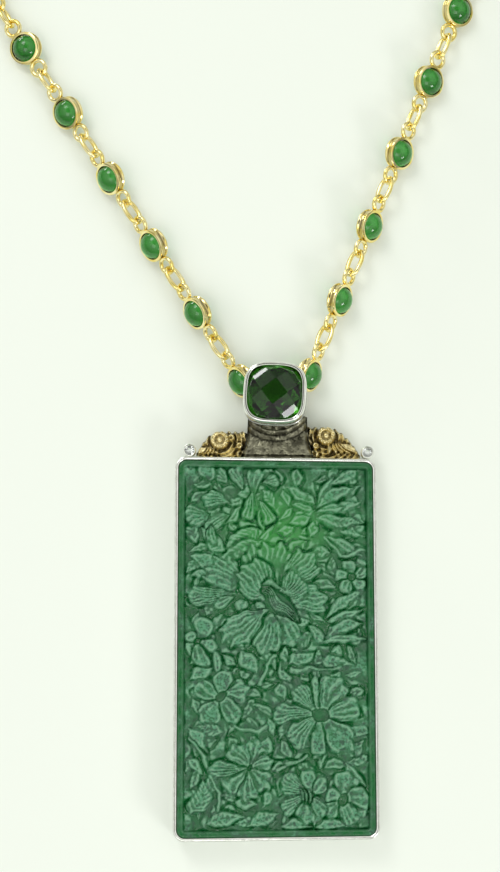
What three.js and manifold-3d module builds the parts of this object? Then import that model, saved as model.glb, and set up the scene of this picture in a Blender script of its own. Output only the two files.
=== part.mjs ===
// A pendant necklace lying on its back: a carved quartz slab in a silver tray, an oxidised neck with
// two gilt castings, a cushion gem in a bezel, and a gold chain of round stone stations.
// The origin is the middle of the tray's back, +Z is up from it, +Y points along the pendant
// to the chain, and -Z is the ground the whole necklace lies on.
import * as THREE from 'three';
import { mergeVertices } from 'three/addons/utils/BufferGeometryUtils.js';
import Module from 'manifold-3d';

const wasm = await Module();
wasm.setup();

// Driving dimensions, in millimetres and degrees

// Slab and tray
const slabWidth = 37.8;
const slabHeight = 72.4;
const slabThickness = 4.3;
const slabShortfall = 1.0;
const slabCorner = 1.6;
const borderWidth = 1.7;
const carvingDepth = 1.15;
const reliefRise = 1.15;
const petalSink = 0.3;
const petalBevel = 0.72;
const petalLift = 3;
const petalSwell = 0.4;
const trayFloor = 1.2;
const trayWall = 0.6;
const trayLip = 0.35;
const slabClearance = 0.06;

// Joint left where one soldered piece meets another
const seam = 0.06;

// Neck between the tray and the gem
const neckTopWidth = 11.6;
const neckFootWidth = 14.6;
const neckOffset = 0.4;
const neckLift = 0.7;
const neckFootTop = 4.9;
const neckTop = 6.5;
const neckSteps = 3;
const neckStepWidth = 0.75;
const neckSaddleAhead = 1.9;

// Gem and its bezel
const gemWidth = 10.7;
const gemCrown = 1.9;
const gemPavilion = 3.4;
const gemCrownProfile = [[1, 0], [0.97, 0.18], [0.72, 0.72], [0.34, 1], [0, 1]];
const gemPavilionProfile = [[0, 1], [0.3, 0.86]];
const bezelWall = 0.68;
const bezelHeight = 4.6;
const bezelLip = 0.5;
const bezelSeat = 1.5;
const bezelBack = 9.4;
const bezelBackRim = 0.9;
const gemClearance = 0.12;
const gemAhead = 11.6;
const gemTurn = -3;
const gemLean = 3;
const cushionPower = 3.3;

// Gilt castings on the tray's top edge
const castingLift = 1.0;
const castingThickness = 3.4;
const leftCasting = { side: -1, shoulder: 5.3, rosette: 10.9, rosetteUp: 3.5 };
const rightCasting = { side: 1, shoulder: 6.4, rosette: 9.9, rosetteUp: 4.6 };
const castingTip = 0.9;
const rosetteRadius = 1.9;
const rosetteRise = 1.3;
const scrollSize = 1.8;
const castingLeaves = 3;
const leafWidth = 1.8;
const leafTurn = -24;

// Small clear stones beside the castings
const accentRadius = 1.25;
const accentStone = 0.85;
const accentStoneHeight = 0.95;
const accentClearance = 0.1;
const accentHeight = 2.6;
const accentCup = 0.9;
const accentLift = 2.9;
const leftAccent = 16.8;
const rightAccent = 17.9;

// Chain, its first stations `strandAhead` of the tray's top edge
const pitch = 16.4;
const stationsShown = 6;
const stationsInRun = 3;
const runsPerSide = 2;
const splay = 27.2;
const lean = 5.2;
const strandStart = 6.7;
const strandAhead = 16.04;
const stationRadius = 3.3;
const stationWidth = 1.9;
const stationWall = 0.62;
const stoneDome = 1.55;
const stoneClearance = 0.12;
const eyeRadius = 2.0;
const eyeWire = 0.9;
const eyeSink = 0.3;
const linkWidth = 3.6;
const linkWire = 0.9;
const linkSlack = 0.06;
const looseSlack = 0.22;
const linkBite = 0.12;
// How far each station is rolled over about the chain, from the pendant outwards
const leftRolls = [60, 58, 55, 52, 42, 28];
const rightRolls = [60, 58, 54, 46, 38, 32];
const runRoll = 27;

// Bail bar behind the gem
const bailBarDepth = 2.2;
const bailBarThickness = 1.1;
const bailBarMargin = 1.6;
const bailPost = 0.55;
const bailEye = 1.7;

// Clasp
const hookWire = 0.95;
const hookBend = 2.3;
const hookShank = 4.2;
const hookTip = 2.4;
const ringRadius = 2.9;
const ringWire = 0.95;

// Numbers of facets
const petalSides = 5;
const leafSides = 4;
const cornerSegments = 3;
const discSides = 20;
const cushionSides = 12;
const rosetteSides = 8;
const lobeSides = 6;
const lobeRings = 3;
const accentSides = 8;
const stationSides = 8;
const stoneSides = 8;
const runSides = 6;
const runWireSides = 3;
const wireSides = 4;
const postSides = 6;
const eyeSteps = 6;
const linkSteps = 8;
const runLinkSteps = 6;
const ringSteps = 10;
const hookSides = 4;
const hookSteps = 10;
const bendPoints = 6;

// Carved flowers and leaves, each at its place on the slab.
// A flower has its petals all round a hollow, a fan has its leaves between two headings.
const carvedFlowers = [
  { at: [8.1, -13.6], petals: 8, hollow: 1.6, reach: 9.0, width: 5.0, turn: 3 },
  { at: [-10.5, -10.2], petals: 5, hollow: 0.9, reach: 6.6, width: 5.6, turn: 14 },
  { at: [-5.2, -23.4], petals: 7, hollow: 0.7, reach: 7.0, width: 4.6, turn: 0 },
  { at: [5.6, -29.2], petals: 5, hollow: 0.9, reach: 5.3, width: 4.6, turn: 30 },
  { at: [13.2, -29.2], petals: 4, hollow: 0.8, reach: 5.0, width: 4.6, turn: 45 },
  { at: [14.5, 12.8], petals: 5, hollow: 0.5, reach: 3.4, width: 2.9, turn: 20 },
  { at: [-14.6, 0.7], petals: 5, hollow: 0.5, reach: 3.9, width: 3.4, turn: 18 },
  { at: [-12.6, 26.4], petals: 5, hollow: 0.4, reach: 5.2, width: 4.2, turn: 10 },
];
const carvedFans = [
  { at: [7.7, 25.6], leaves: 6, from: -42, to: 92, inner: 0.5, reach: 10.0, width: 3.1 },
  { at: [7.0, 25.6], leaves: 2, from: 155, to: 210, inner: 0.5, reach: 5.8, width: 2.8 },
  { at: [-5.4, 28.6], leaves: 3, from: 50, to: 150, inner: 1.8, reach: 7.4, width: 5.0 },
  { at: [-2.4, 29.6], leaves: 2, from: 225, to: 285, inner: 0.8, reach: 6.6, width: 3.6 },
  { at: [-15.8, 15.4], leaves: 3, from: 0, to: 78, inner: 0.6, reach: 8.8, width: 3.8 },
  { at: [1.6, 20.4], leaves: 2, from: 165, to: 195, inner: 0.6, reach: 8.6, width: 3.0 },
  { at: [-1.0, 8.6], leaves: 4, from: 20, to: 160, inner: 1.8, reach: 8.2, width: 5.4 },
  { at: [-0.6, 8.4], leaves: 3, from: 38, to: 122, inner: 7.6, reach: 12.4, width: 7.0 },
  { at: [0.2, 7.0], leaves: 3, from: 205, to: 275, inner: 1.8, reach: 9.4, width: 6.8 },
  { at: [-6.5, 9.2], leaves: 2, from: 162, to: 198, inner: 1.0, reach: 10.0, width: 4.6 },
  { at: [9.4, 3.6], leaves: 4, from: -50, to: 48, inner: 0.5, reach: 7.6, width: 2.9 },
  { at: [-15.6, -33.8], leaves: 2, from: 48, to: 100, inner: 0.4, reach: 7.8, width: 3.6 },
  { at: [-2.6, -38.6], leaves: 4, from: 45, to: 145, inner: 4.4, reach: 9.0, width: 3.8 },
];
const pistil = { at: [0.5, 7.9], heading: -46, length: 8.8, width: 3.6, swell: 0, lift: 0 };

// Plain sums from those sizes
const degree = Math.PI / 180;
const slabTop = trayFloor + slabClearance + slabThickness;
const trayHeight = slabTop + trayLip;
const carvingFloor = slabTop - carvingDepth;
const trayWidth = slabWidth + 2 * (slabClearance + trayWall);
const trayLength = slabHeight + 2 * (slabClearance + trayWall);
const trayTopEdge = trayLength / 2;
const topEdgeAt = (x) => trayTopEdge - (slabShortfall / 2) * (x / trayWidth + 0.5);
const bezelWidth = gemWidth + 2 * (gemClearance + bezelWall);
const gemAt = trayTopEdge + gemAhead;
const bezelDip = (bezelBack / Math.SQRT2) * Math.sin(gemLean * degree) + seam;
const bezelBackLevel = neckTop + bezelDip;
const stoneRadius = stationRadius - stationWall - stoneClearance;
const stoneHeight = stationWidth / 2 + stoneDome;
const domeRadius = (stoneRadius ** 2 + stoneDome ** 2) / (2 * stoneDome);
const domeCentre = stoneHeight - domeRadius;
const eyeReach = 2 * eyeRadius - eyeSink;
const eyeOffset = stationRadius + eyeRadius - eyeSink;
const endGap = pitch - 2 * (stationRadius + eyeReach);
const linkLength = endGap + 2 * (eyeWire + linkWire + linkSlack);
const runLinkLength = linkLength - 2 * (linkSlack + linkBite);
const stationsPerSide = stationsShown + stationsInRun * runsPerSide;

// Materials
const finish = (color, metalness, roughness) =>
  new THREE.MeshStandardMaterial({ color, metalness, roughness, flatShading: true });
const quartz = finish(0x2f7a4a, 0, 0.45);
const silver = finish(0xe6e8e4, 1, 0.18);
const oxidisedSilver = finish(0x56554c, 1, 0.45);
const giltBronze = finish(0x9a7a38, 1, 0.4);
const gold = finish(0xe6bc4a, 1, 0.2);
const greenStone = finish(0x1f7f38, 0, 0.08);
const darkGreenStone = finish(0x12501c, 0, 0.05);
const clearStone = finish(0xf2f6f2, 0, 0.03);

// Solids from geometries and back

function toSolid(geometry) {
  const bare = geometry.clone();
  bare.deleteAttribute('normal');
  bare.deleteAttribute('uv');
  const merged = mergeVertices(bare, 1e-5);
  return new wasm.Manifold(new wasm.Mesh({
    numProp: 3,
    vertProperties: Float32Array.from(merged.attributes.position.array),
    triVerts: Uint32Array.from(merged.index.array),
  }));
}

function toGeometry(solid) {
  const mesh = solid.getMesh();
  const geometry = new THREE.BufferGeometry();
  geometry.setAttribute('position', new THREE.BufferAttribute(mesh.vertProperties, 3));
  geometry.setIndex(new THREE.BufferAttribute(mesh.triVerts, 1));
  return geometry;
}

function joined(geometries) {
  const solids = geometries.map(toSolid);
  return toGeometry(solids.reduce((sum, solid) => sum.add(solid)));
}

function without(geometry, tool) {
  return toGeometry(toSolid(geometry).subtract(toSolid(tool)));
}

function extruded(shape, from, to) {
  const options = { depth: to - from, bevelEnabled: false, curveSegments: cornerSegments };
  const geometry = new THREE.ExtrudeGeometry(shape, options);
  return geometry.translate(0, 0, from);
}

// A closed ring turned about +Z from a profile of [radius, height] pairs, with a corner on +X
function turnedRing(profile, sides) {
  return turnedSolid([...profile, profile[0]], sides);
}

// A solid turned about +Z, whose profile starts and ends on the axis
function turnedSolid(profile, sides) {
  const points = profile.map(([radius, height]) => new THREE.Vector2(radius, height));
  return new THREE.LatheGeometry(points, sides).rotateX(Math.PI / 2).rotateZ(Math.PI / 2);
}

// Pushes a round form out into a cushion, a square with bowed sides and round corners
function cushioned(geometry) {
  geometry.rotateZ(Math.PI / cushionSides);
  const position = geometry.attributes.position;
  for (let i = 0; i < position.count; i += 1) {
    const angle = Math.atan2(position.getY(i), position.getX(i));
    const flat = Math.abs(Math.cos(angle)) ** cushionPower + Math.abs(Math.sin(angle)) ** cushionPower;
    const push = flat ** (-1 / cushionPower);
    position.setXY(i, position.getX(i) * push, position.getY(i) * push);
  }
  return geometry;
}

// Slab and tray

// The slab was cut by hand, so its right side is a little shorter than its left
function tabletShape(width, height, corner) {
  const halfWidth = width / 2;
  const left = height / 2;
  const right = (height - slabShortfall) / 2;
  const shape = new THREE.Shape();
  shape.moveTo(-halfWidth + corner, left);
  shape.quadraticCurveTo(-halfWidth, left, -halfWidth, left - corner);
  shape.lineTo(-halfWidth, -left + corner);
  shape.quadraticCurveTo(-halfWidth, -left, -halfWidth + corner, -left);
  shape.lineTo(halfWidth - corner, -right);
  shape.quadraticCurveTo(halfWidth, -right, halfWidth, -right + corner);
  shape.lineTo(halfWidth, right - corner);
  shape.quadraticCurveTo(halfWidth, right, halfWidth - corner, right);
  shape.closePath();
  return shape;
}

// One petal or leaf: a long flat-topped boss with bevelled sides, wider towards its tip by `swell`
// and with its tip raised by `lift`
function carvedPetal(petal) {
  const { at, heading, length, width, swell = petalSwell, lift = petalLift, sides = petalSides } = petal;
  const height = reliefRise + petalSink;
  const boss = new THREE.CylinderGeometry(petalBevel / 2, 0.5, height, sides);
  boss.rotateX(Math.PI / 2).rotateZ(Math.PI / 2).translate(0, 0, height / 2);
  const position = boss.attributes.position;
  for (let i = 0; i < position.count; i += 1) {
    const widen = (1 + swell * position.getX(i)) * width;
    position.setXY(i, position.getX(i) * length, position.getY(i) * widen);
  }
  boss.rotateY(-lift * degree).rotateZ(heading * degree);
  return boss.translate(at[0], at[1], carvingFloor - petalSink);
}

function petalFromCentre(centre, heading, inner, reach, width, more = {}) {
  const middle = (inner + reach) / 2;
  const at = [
    centre[0] + middle * Math.cos(heading * degree),
    centre[1] + middle * Math.sin(heading * degree),
  ];
  return carvedPetal({ at, heading, length: reach - inner, width, ...more });
}

function carvedFlower({ at, petals, hollow, reach, width, turn }) {
  return Array.from({ length: petals }, (_, i) =>
    petalFromCentre(at, turn + (360 * i) / petals, hollow, reach, width));
}

function carvedFan({ at, leaves, from, to, inner, reach, width }) {
  const leaf = { swell: 0, sides: leafSides };
  return Array.from({ length: leaves }, (_, i) =>
    petalFromCentre(at, from + ((to - from) * i) / (leaves - 1), inner, reach, width, leaf));
}

function plaque() {
  const body = extruded(tabletShape(slabWidth, slabHeight, slabCorner), slabTop - slabThickness, slabTop);
  const field = tabletShape(slabWidth - 2 * borderWidth, slabHeight - 2 * borderWidth, slabCorner);
  const hollowed = toSolid(without(body, extruded(field, carvingFloor, slabTop + 1)));
  const carving = [
    ...carvedFlowers.flatMap(carvedFlower),
    ...carvedFans.flatMap(carvedFan),
    carvedPetal(pistil),
  ];
  const relief = carving.map(toSolid).reduce((sum, petal) => sum.add(petal));
  const reach = tabletShape(slabWidth - borderWidth, slabHeight - borderWidth, slabCorner);
  const bounds = toSolid(extruded(reach, trayFloor + slabThickness / 2, slabTop + reliefRise));
  return toGeometry(hollowed.add(relief.intersect(bounds)));
}

function plaqueSetting() {
  const corner = slabCorner + slabClearance + trayWall;
  const block = extruded(tabletShape(trayWidth, trayLength, corner), 0, trayHeight);
  const pocket = tabletShape(slabWidth + 2 * slabClearance, slabHeight + 2 * slabClearance, slabCorner);
  return without(block, extruded(pocket, trayFloor, trayHeight + 1));
}

// Neck: a flared foot with concave sides, and steps that follow the bezel's round edge

// The neck runs from the tray's top edge to the bail's bar. `grow` makes it wider on both flanks.
function neckOutline(grow) {
  const foot = neckFootWidth / 2 + grow;
  const top = neckTopWidth / 2 + grow;
  const low = (x) => topEdgeAt(x) + seam - grow;
  const high = bailBar().front - seam;
  const waist = (low(0) + gemAt - bezelWidth / 2) / 2;
  const shape = new THREE.Shape();
  shape.moveTo(neckOffset - foot, low(neckOffset - foot));
  shape.lineTo(neckOffset + foot, low(neckOffset + foot));
  shape.quadraticCurveTo(neckOffset + top, waist, neckOffset + top, high);
  shape.lineTo(neckOffset - top, high);
  shape.quadraticCurveTo(neckOffset - top, waist, neckOffset - foot, low(neckOffset - foot));
  return shape;
}

// One of the round mouldings that climb from the neck's face to the bezel
function neckMoulding(step) {
  const radius = bezelWidth / 2 + neckSaddleAhead - neckStepWidth * step;
  const top = neckFootTop + ((neckTop - neckFootTop) * (step + 1)) / neckSteps;
  return new THREE.CylinderGeometry(radius, radius, top - neckLift, discSides).rotateX(Math.PI / 2)
    .translate(0, gemAt, (top + neckLift) / 2);
}

function neck() {
  const foot = toSolid(extruded(neckOutline(0), neckLift, neckFootTop));
  const column = toSolid(extruded(neckOutline(0), neckLift, neckTop));
  const mouldings = Array.from({ length: neckSteps }, (_, i) => toSolid(neckMoulding(i)));
  const saddle = mouldings.reduce((sum, disc) => sum.add(disc)).intersect(column);
  return toGeometry(foot.add(saddle));
}

// Gilt castings, each cut to the neck's flank

// A casting's two ends along the tray's edge, measured outwards from the middle
function castingEnds({ side }) {
  const accent = side < 0 ? leftAccent : rightAccent;
  return {
    neckSide: neckTopWidth / 2 + side * neckOffset,
    footSide: neckFootWidth / 2 + side * neckOffset + seam,
    outer: accent - accentRadius - seam,
  };
}

function castingShape(casting) {
  const { neckSide, outer } = castingEnds(casting);
  const at = (across, up) => [casting.side * across, topEdgeAt(casting.side * across) + up];
  const shape = new THREE.Shape();
  shape.moveTo(...at(neckSide, seam));
  shape.lineTo(...at(neckSide, casting.shoulder));
  shape.lineTo(...at(casting.rosette, casting.shoulder));
  const bow = at(casting.rosette + rosetteRadius, casting.shoulder);
  shape.quadraticCurveTo(...bow, ...at(outer, castingTip));
  shape.lineTo(...at(outer, seam));
  return shape;
}

// A rounded lobe on a casting's face, half sunk in it
function castingLobe({ side }, across, up, size, turn = 0) {
  const lobe = new THREE.SphereGeometry(0.5, lobeSides, lobeRings).scale(...size);
  lobe.rotateZ(side * turn * degree);
  return lobe.translate(side * across, topEdgeAt(side * across) + up, castingLift + castingThickness);
}

// A leaf's height falls from the rosette to the casting's outer end
function castingLeaf(casting, index) {
  const share = (index + 0.5) / castingLeaves;
  const start = casting.rosette + rosetteRadius / 2;
  const across = start + (castingEnds(casting).outer - leafWidth / 2 - start) * share;
  const height = casting.shoulder + (castingTip - casting.shoulder) * share;
  return castingLobe(casting, across, height / 2, [leafWidth, height, 2 * rosetteRise], leafTurn);
}

function rosette({ side, rosette: across, rosetteUp }) {
  const profile = [[0, -rosetteRise], [rosetteRadius, -rosetteRise], [rosetteRadius, rosetteRise / 3],
    [rosetteRadius / 2, rosetteRise / 2], [0, rosetteRise]];
  const middle = side * across;
  const face = castingLift + castingThickness;
  return turnedSolid(profile, rosetteSides).translate(middle, topEdgeAt(middle) + rosetteUp, face);
}

function casting(sizes) {
  const { side, shoulder } = sizes;
  const { neckSide, footSide, outer } = castingEnds(sizes);
  const face = castingLift + castingThickness;
  const scrolls = [shoulder / 5, (3 * shoulder) / 5].map((up) =>
    castingLobe(sizes, footSide + scrollSize / 3, up, [scrollSize, scrollSize, 2 * rosetteRise]));
  const leaves = Array.from({ length: castingLeaves }, (_, i) => castingLeaf(sizes, i));
  const base = extruded(castingShape(sizes), castingLift, face);
  const whole = joined([base, rosette(sizes), ...scrolls, ...leaves]);
  const bounds = new THREE.Shape();
  bounds.moveTo(side * neckSide, topEdgeAt(side * neckSide) + seam);
  bounds.lineTo(side * neckSide, gemAt);
  bounds.lineTo(side * outer, gemAt);
  bounds.lineTo(side * outer, topEdgeAt(side * outer) + seam);
  const kept = toSolid(whole).intersect(toSolid(extruded(bounds, castingLift, face + bezelHeight)));
  return without(toGeometry(kept), extruded(neckOutline(seam), 0, face + bezelHeight));
}

// Gem, bezel and the two clear stones

// Crown and pavilion are profiles of [share of the half width, share of the height]
function gem() {
  const half = gemWidth / 2;
  const crown = gemCrownProfile.map(([out, up]) => [half * out, gemCrown * up]);
  const pavilion = gemPavilionProfile.map(([out, down]) => [half * out, -gemPavilion * down]);
  return cushioned(turnedSolid([...pavilion, ...crown], cushionSides));
}

function gemSetting() {
  const outer = bezelWidth / 2;
  const inner = outer - bezelWall;
  const back = bezelBack / 2;
  const profile = [[back - bezelBackRim, 0], [back, 0], [outer, bezelSeat], [outer, bezelHeight],
    [inner, bezelHeight], [inner, bezelSeat + bezelWall], [back - bezelBackRim, bezelWall]];
  return cushioned(turnedRing(profile, cushionSides));
}

function accentSetting() {
  const inner = accentStone + accentClearance;
  const cup = accentHeight - accentCup;
  const profile = [[0, 0], [accentRadius, 0], [accentRadius, accentHeight], [inner, accentHeight],
    [inner, cup], [0, cup]];
  return turnedSolid(profile, accentSides);
}

// A round brilliant, its point just above the bottom of its cup
function accentJewel() {
  const crown = accentStoneHeight / 3;
  const profile = [[0, crown - accentStoneHeight], [accentStone, 0], [accentStone / 2, crown], [0, crown]];
  return turnedSolid(profile, accentSides);
}

// Chain

// A ring of wire about +Z, with a corner of its outline at each end of X and its wire's edge inwards
function wireLoop(radius, wire, steps, sides = wireSides) {
  return new THREE.TorusGeometry(radius - wire / 2, wire / 2, sides, steps, 2 * Math.PI, Math.PI);
}

// A ring of wire whose two halves are drawn apart along X into an oval link.
// It is turned where needed so that no corner lies on the line between the halves.
function oval(length, steps, sides = wireSides) {
  const turn = steps % 4 === 0 ? Math.PI / steps : 0;
  const loop = wireLoop(linkWidth / 2, linkWire, steps, sides).rotateZ(turn);
  const position = loop.attributes.position;
  const stretch = length / 2 - (linkWidth / 2) * Math.cos(turn);
  for (let i = 0; i < position.count; i += 1) {
    position.setX(i, position.getX(i) + Math.sign(position.getX(i)) * stretch);
  }
  return loop;
}

function stationEyes(sides = wireSides) {
  return [-1, 1].map((end) =>
    wireLoop(eyeRadius, eyeWire, eyeSteps, sides).translate(end * eyeOffset, 0, 0));
}

function stationSetting() {
  const inner = stationRadius - stationWall;
  const half = stationWidth / 2;
  const profile = [[inner, -half], [stationRadius, -half], [stationRadius, half], [inner, half]];
  const band = turnedRing(profile, stationSides);
  return joined([band, ...stationEyes()]);
}

// The dome of a stone's profile, from halfway up to its top
function domeProfile() {
  const middle = (2 * stoneRadius) / 3;
  return [[middle, domeCentre + Math.sqrt(domeRadius ** 2 - middle ** 2)], [0, stoneHeight]];
}

function mirrored(profile) {
  return profile.map(([radius, height]) => [radius, -height]).reverse();
}

function stationStone() {
  const dome = domeProfile();
  return turnedSolid([...mirrored(dome), [stoneRadius, 0], ...dome], stoneSides);
}

// A band and its stone in one turned body, as the runs have them
function filledStation() {
  const upper = [[stationRadius, stationWidth / 2], ...domeProfile()];
  return joined([turnedSolid([...mirrored(upper), ...upper], runSides),
    ...stationEyes(runWireSides)]);
}

// The height of a rolled station's middle when it rests on its dome or on the edge of its band
function restingHeight(roll) {
  const onEdge = stationRadius * Math.sin(roll) + (stationWidth / 2) * Math.cos(roll);
  const onDome = domeRadius + domeCentre * Math.cos(roll);
  return Math.max(onEdge, onDome);
}

// The clasp's pieces along the chain, from the middle of the right strand's last station
const clasp = (() => {
  const linkCentre = stationRadius + eyeReach + linkLength / 2 - linkWire - eyeWire - linkSlack;
  const hookStart = 2 * linkCentre - stationRadius - eyeReach;
  const hookEnd = hookStart + eyeRadius + hookShank + hookBend;
  const ringCentre = hookEnd - hookWire - looseSlack - ringWire + ringRadius;
  const catchEnd = ringCentre + ringRadius - ringWire - eyeWire - looseSlack;
  return { linkCentre, hookStart, ringCentre, whole: catchEnd + stationRadius + eyeReach };
})();

// Each strand runs straight from the pendant, then bends in one arc, and is straight again at the clasp.
// The first straight and the arc follow from the strand's length and its two ends.
const lastStation = (stationsPerSide - 1) * pitch;
const strandLength = lastStation + clasp.whole / 2;
const splayTurn = splay * degree;
const arcTurn = splayTurn + Math.PI / 2;
const claspStretch = clasp.whole / 2 + stationRadius + eyeReach;
const bentLength = strandLength - claspStretch;
const arcRadius = (strandStart + bentLength * Math.sin(splayTurn) - claspStretch) /
  (arcTurn * Math.sin(splayTurn) + Math.cos(splayTurn));
const straightLength = bentLength - arcRadius * arcTurn;

// Where a strand is at a distance along it: its place and its heading on the ground.
// Side is -1 for the left strand and 1 for the right one.
function strandAt(side, distance) {
  const straight = Math.min(distance, straightLength);
  const turned = Math.min(Math.max(distance - straightLength, 0) / arcRadius, arcTurn);
  const bearing = splayTurn - turned;
  const across = strandStart + straight * Math.sin(splayTurn) - Math.max(distance - bentLength, 0) +
    arcRadius * (Math.cos(bearing) - Math.cos(splayTurn));
  const along = straight * Math.cos(splayTurn) + arcRadius * (Math.sin(splayTurn) - Math.sin(bearing));
  const tilt = lean * degree;
  const x = side * across;
  return {
    x: x * Math.cos(tilt) - along * Math.sin(tilt),
    y: trayTopEdge + strandAhead + x * Math.sin(tilt) + along * Math.cos(tilt),
    heading: Math.PI / 2 - side * bearing + tilt,
  };
}

function rollAt(side, station) {
  const rolls = side < 0 ? leftRolls : rightRolls;
  const roll = rolls[Math.min(station, rolls.length - 1)];
  return (station < stationsShown ? roll : runRoll) * degree;
}

// The frame of a piece on a strand: X along the chain, Z rolled outwards by `roll`
function strandFrame(side, distance, roll, height) {
  const place = strandAt(side, distance);
  const frame = new THREE.Matrix4().makeTranslation(place.x, place.y, height);
  frame.multiply(new THREE.Matrix4().makeRotationZ(place.heading));
  return frame.multiply(new THREE.Matrix4().makeRotationX(side * roll));
}

function stationFrame(side, station) {
  const roll = rollAt(side, station);
  return strandFrame(side, station * pitch, roll, restingHeight(roll));
}

// A link lies on the line between the two eyes it joins, and stands across them
function linkFrame(side, station) {
  const roll = (rollAt(side, station) + rollAt(side, station + 1)) / 2;
  const reach = stationRadius + eyeReach;
  const from = new THREE.Vector3(reach, 0, 0).applyMatrix4(stationFrame(side, station));
  const to = new THREE.Vector3(-reach, 0, 0).applyMatrix4(stationFrame(side, station + 1));
  const middle = from.clone().lerp(to, 0.5);
  const heading = Math.atan2(to.y - from.y, to.x - from.x);
  const frame = new THREE.Matrix4().makeTranslation(middle.x, middle.y, middle.z);
  frame.multiply(new THREE.Matrix4().makeRotationZ(heading));
  return frame.multiply(new THREE.Matrix4().makeRotationX(side * (roll - Math.PI / 2)));
}

// The link after a station of a run bites into both its eyes, but hangs free in the next run's eye
function runLink(side, station, atRunEnd) {
  const free = atRunEnd ? linkBite + linkSlack + looseSlack : 0;
  const link = oval(runLinkLength + free, runLinkSteps, runWireSides).translate(free / 2, 0, 0);
  return link.applyMatrix4(linkFrame(side, station));
}

function chainRun(side, first) {
  const last = first + stationsInRun - 1;
  const pieces = [];
  for (let station = first; station <= last; station += 1) {
    pieces.push(filledStation().applyMatrix4(stationFrame(side, station)));
    if (station < stationsPerSide - 1) {
      pieces.push(runLink(side, station, station === last));
    }
  }
  return joined(pieces);
}

// Bail bar with two eyes, one for the inner eye of each strand's first station

const bailReach = stationRadius + eyeReach - eyeWire - linkWire - linkSlack + bailEye;

function bailBar() {
  const ends = [-1, 1].map((side) => strandAt(side, bailPost - bailReach - bailEye));
  const middle = (ends[0].y + ends[1].y) / 2;
  return {
    ends,
    left: Math.min(ends[0].x, ends[1].x) - bailBarMargin,
    right: Math.max(ends[0].x, ends[1].x) + bailBarMargin,
    middle,
    front: middle - bailBarDepth / 2,
    centre: neckTop - bailBarThickness / 2,
  };
}

function bail() {
  const { ends, left, right, middle, centre } = bailBar();
  const bar = new THREE.BoxGeometry(right - left, bailBarDepth, bailBarThickness);
  bar.translate((left + right) / 2, middle, centre);
  const height = restingHeight(rollAt(1, 0));
  const low = height - bailPost;
  const posts = ends.map((end) => new THREE.CylinderGeometry(bailPost, bailPost, centre - low, postSides)
    .rotateX(Math.PI / 2).translate(end.x, end.y, (centre + low) / 2));
  const across = rollAt(1, 0) - Math.PI / 2;
  const rings = [-1, 1].map((side) =>
    wireLoop(bailEye, linkWire, eyeSteps).applyMatrix4(strandFrame(side, -bailReach, across, height)));
  return joined([bar, ...posts, ...rings]);
}

// Clasp: an open hook with a closed eye, and a plain ring that it catches

function hookPath() {
  const half = hookBend - hookWire / 2;
  const bend = Array.from({ length: bendPoints + 1 }, (_, i) => {
    const angle = -Math.PI / 2 + (Math.PI * i) / bendPoints;
    return new THREE.Vector3(hookShank + half * Math.cos(angle), half * Math.sin(angle), 0);
  });
  const path = new THREE.CurvePath();
  path.add(new THREE.LineCurve3(new THREE.Vector3(0, -half, 0), bend[0]));
  path.add(new THREE.CatmullRomCurve3(bend));
  path.add(new THREE.LineCurve3(bend[bendPoints], new THREE.Vector3(hookShank - hookTip, half, 0)));
  return path;
}

function claspHook() {
  const section = new THREE.Shape();
  section.absarc(0, 0, hookWire / 2, 0, 2 * Math.PI);
  const wire = new THREE.ExtrudeGeometry(section, {
    steps: hookSteps, curveSegments: hookSides / 2, extrudePath: hookPath(), bevelEnabled: false,
  });
  return joined([wire, wireLoop(eyeRadius, eyeWire, linkSteps)]);
}

// Assembly

const necklace = new THREE.Group();

function place(name, geometry, material, parent = necklace) {
  const mesh = new THREE.Mesh(geometry, material);
  mesh.name = name;
  parent.add(mesh);
  return mesh;
}

function placeInFrame(name, geometry, material, frame) {
  const mesh = place(name, geometry, material);
  mesh.applyMatrix4(frame);
}

function placePendant() {
  place('plaque', plaque(), quartz);
  place('plaque_setting', plaqueSetting(), silver);
  place('neck', neck(), oxidisedSilver);
  place('shoulder_left', casting(leftCasting), giltBronze);
  place('shoulder_right', casting(rightCasting), giltBronze);
  place('bail', bail(), silver);
  const head = new THREE.Group();
  head.position.set(0, gemAt, bezelBackLevel);
  head.rotation.set(0, -gemLean * degree, gemTurn * degree);
  necklace.add(head);
  place('gem_setting', gemSetting(), silver, head);
  place('gem', gem(), darkGreenStone, head).position.z = bezelHeight - bezelLip;
}

function placeAccents() {
  for (const [side, across] of [['left', -leftAccent], ['right', rightAccent]]) {
    const up = topEdgeAt(across) + accentRadius + seam;
    const girdle = accentHeight - accentCup + accentClearance + (accentStoneHeight * 2) / 3;
    place(`accent_setting_${side}`, accentSetting(), silver).position.set(across, up, accentLift);
    const jewel = place(`accent_stone_${side}`, accentJewel(), clearStone);
    jewel.position.set(across, up, accentLift + girdle);
  }
}

function placeStrand(name, side) {
  for (let station = 0; station < stationsShown; station += 1) {
    const frame = stationFrame(side, station);
    placeInFrame(`station_setting_${name}_${station + 1}`, stationSetting(), gold, frame);
    placeInFrame(`station_stone_${name}_${station + 1}`, stationStone(), greenStone, frame);
    placeInFrame(`link_${name}_${station + 1}`, oval(linkLength, linkSteps), gold, linkFrame(side, station));
  }
  place(`chain_run_${name}_lower`, chainRun(side, stationsShown), gold);
  place(`chain_run_${name}_upper`, chainRun(side, stationsShown + stationsInRun), gold);
}

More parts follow.
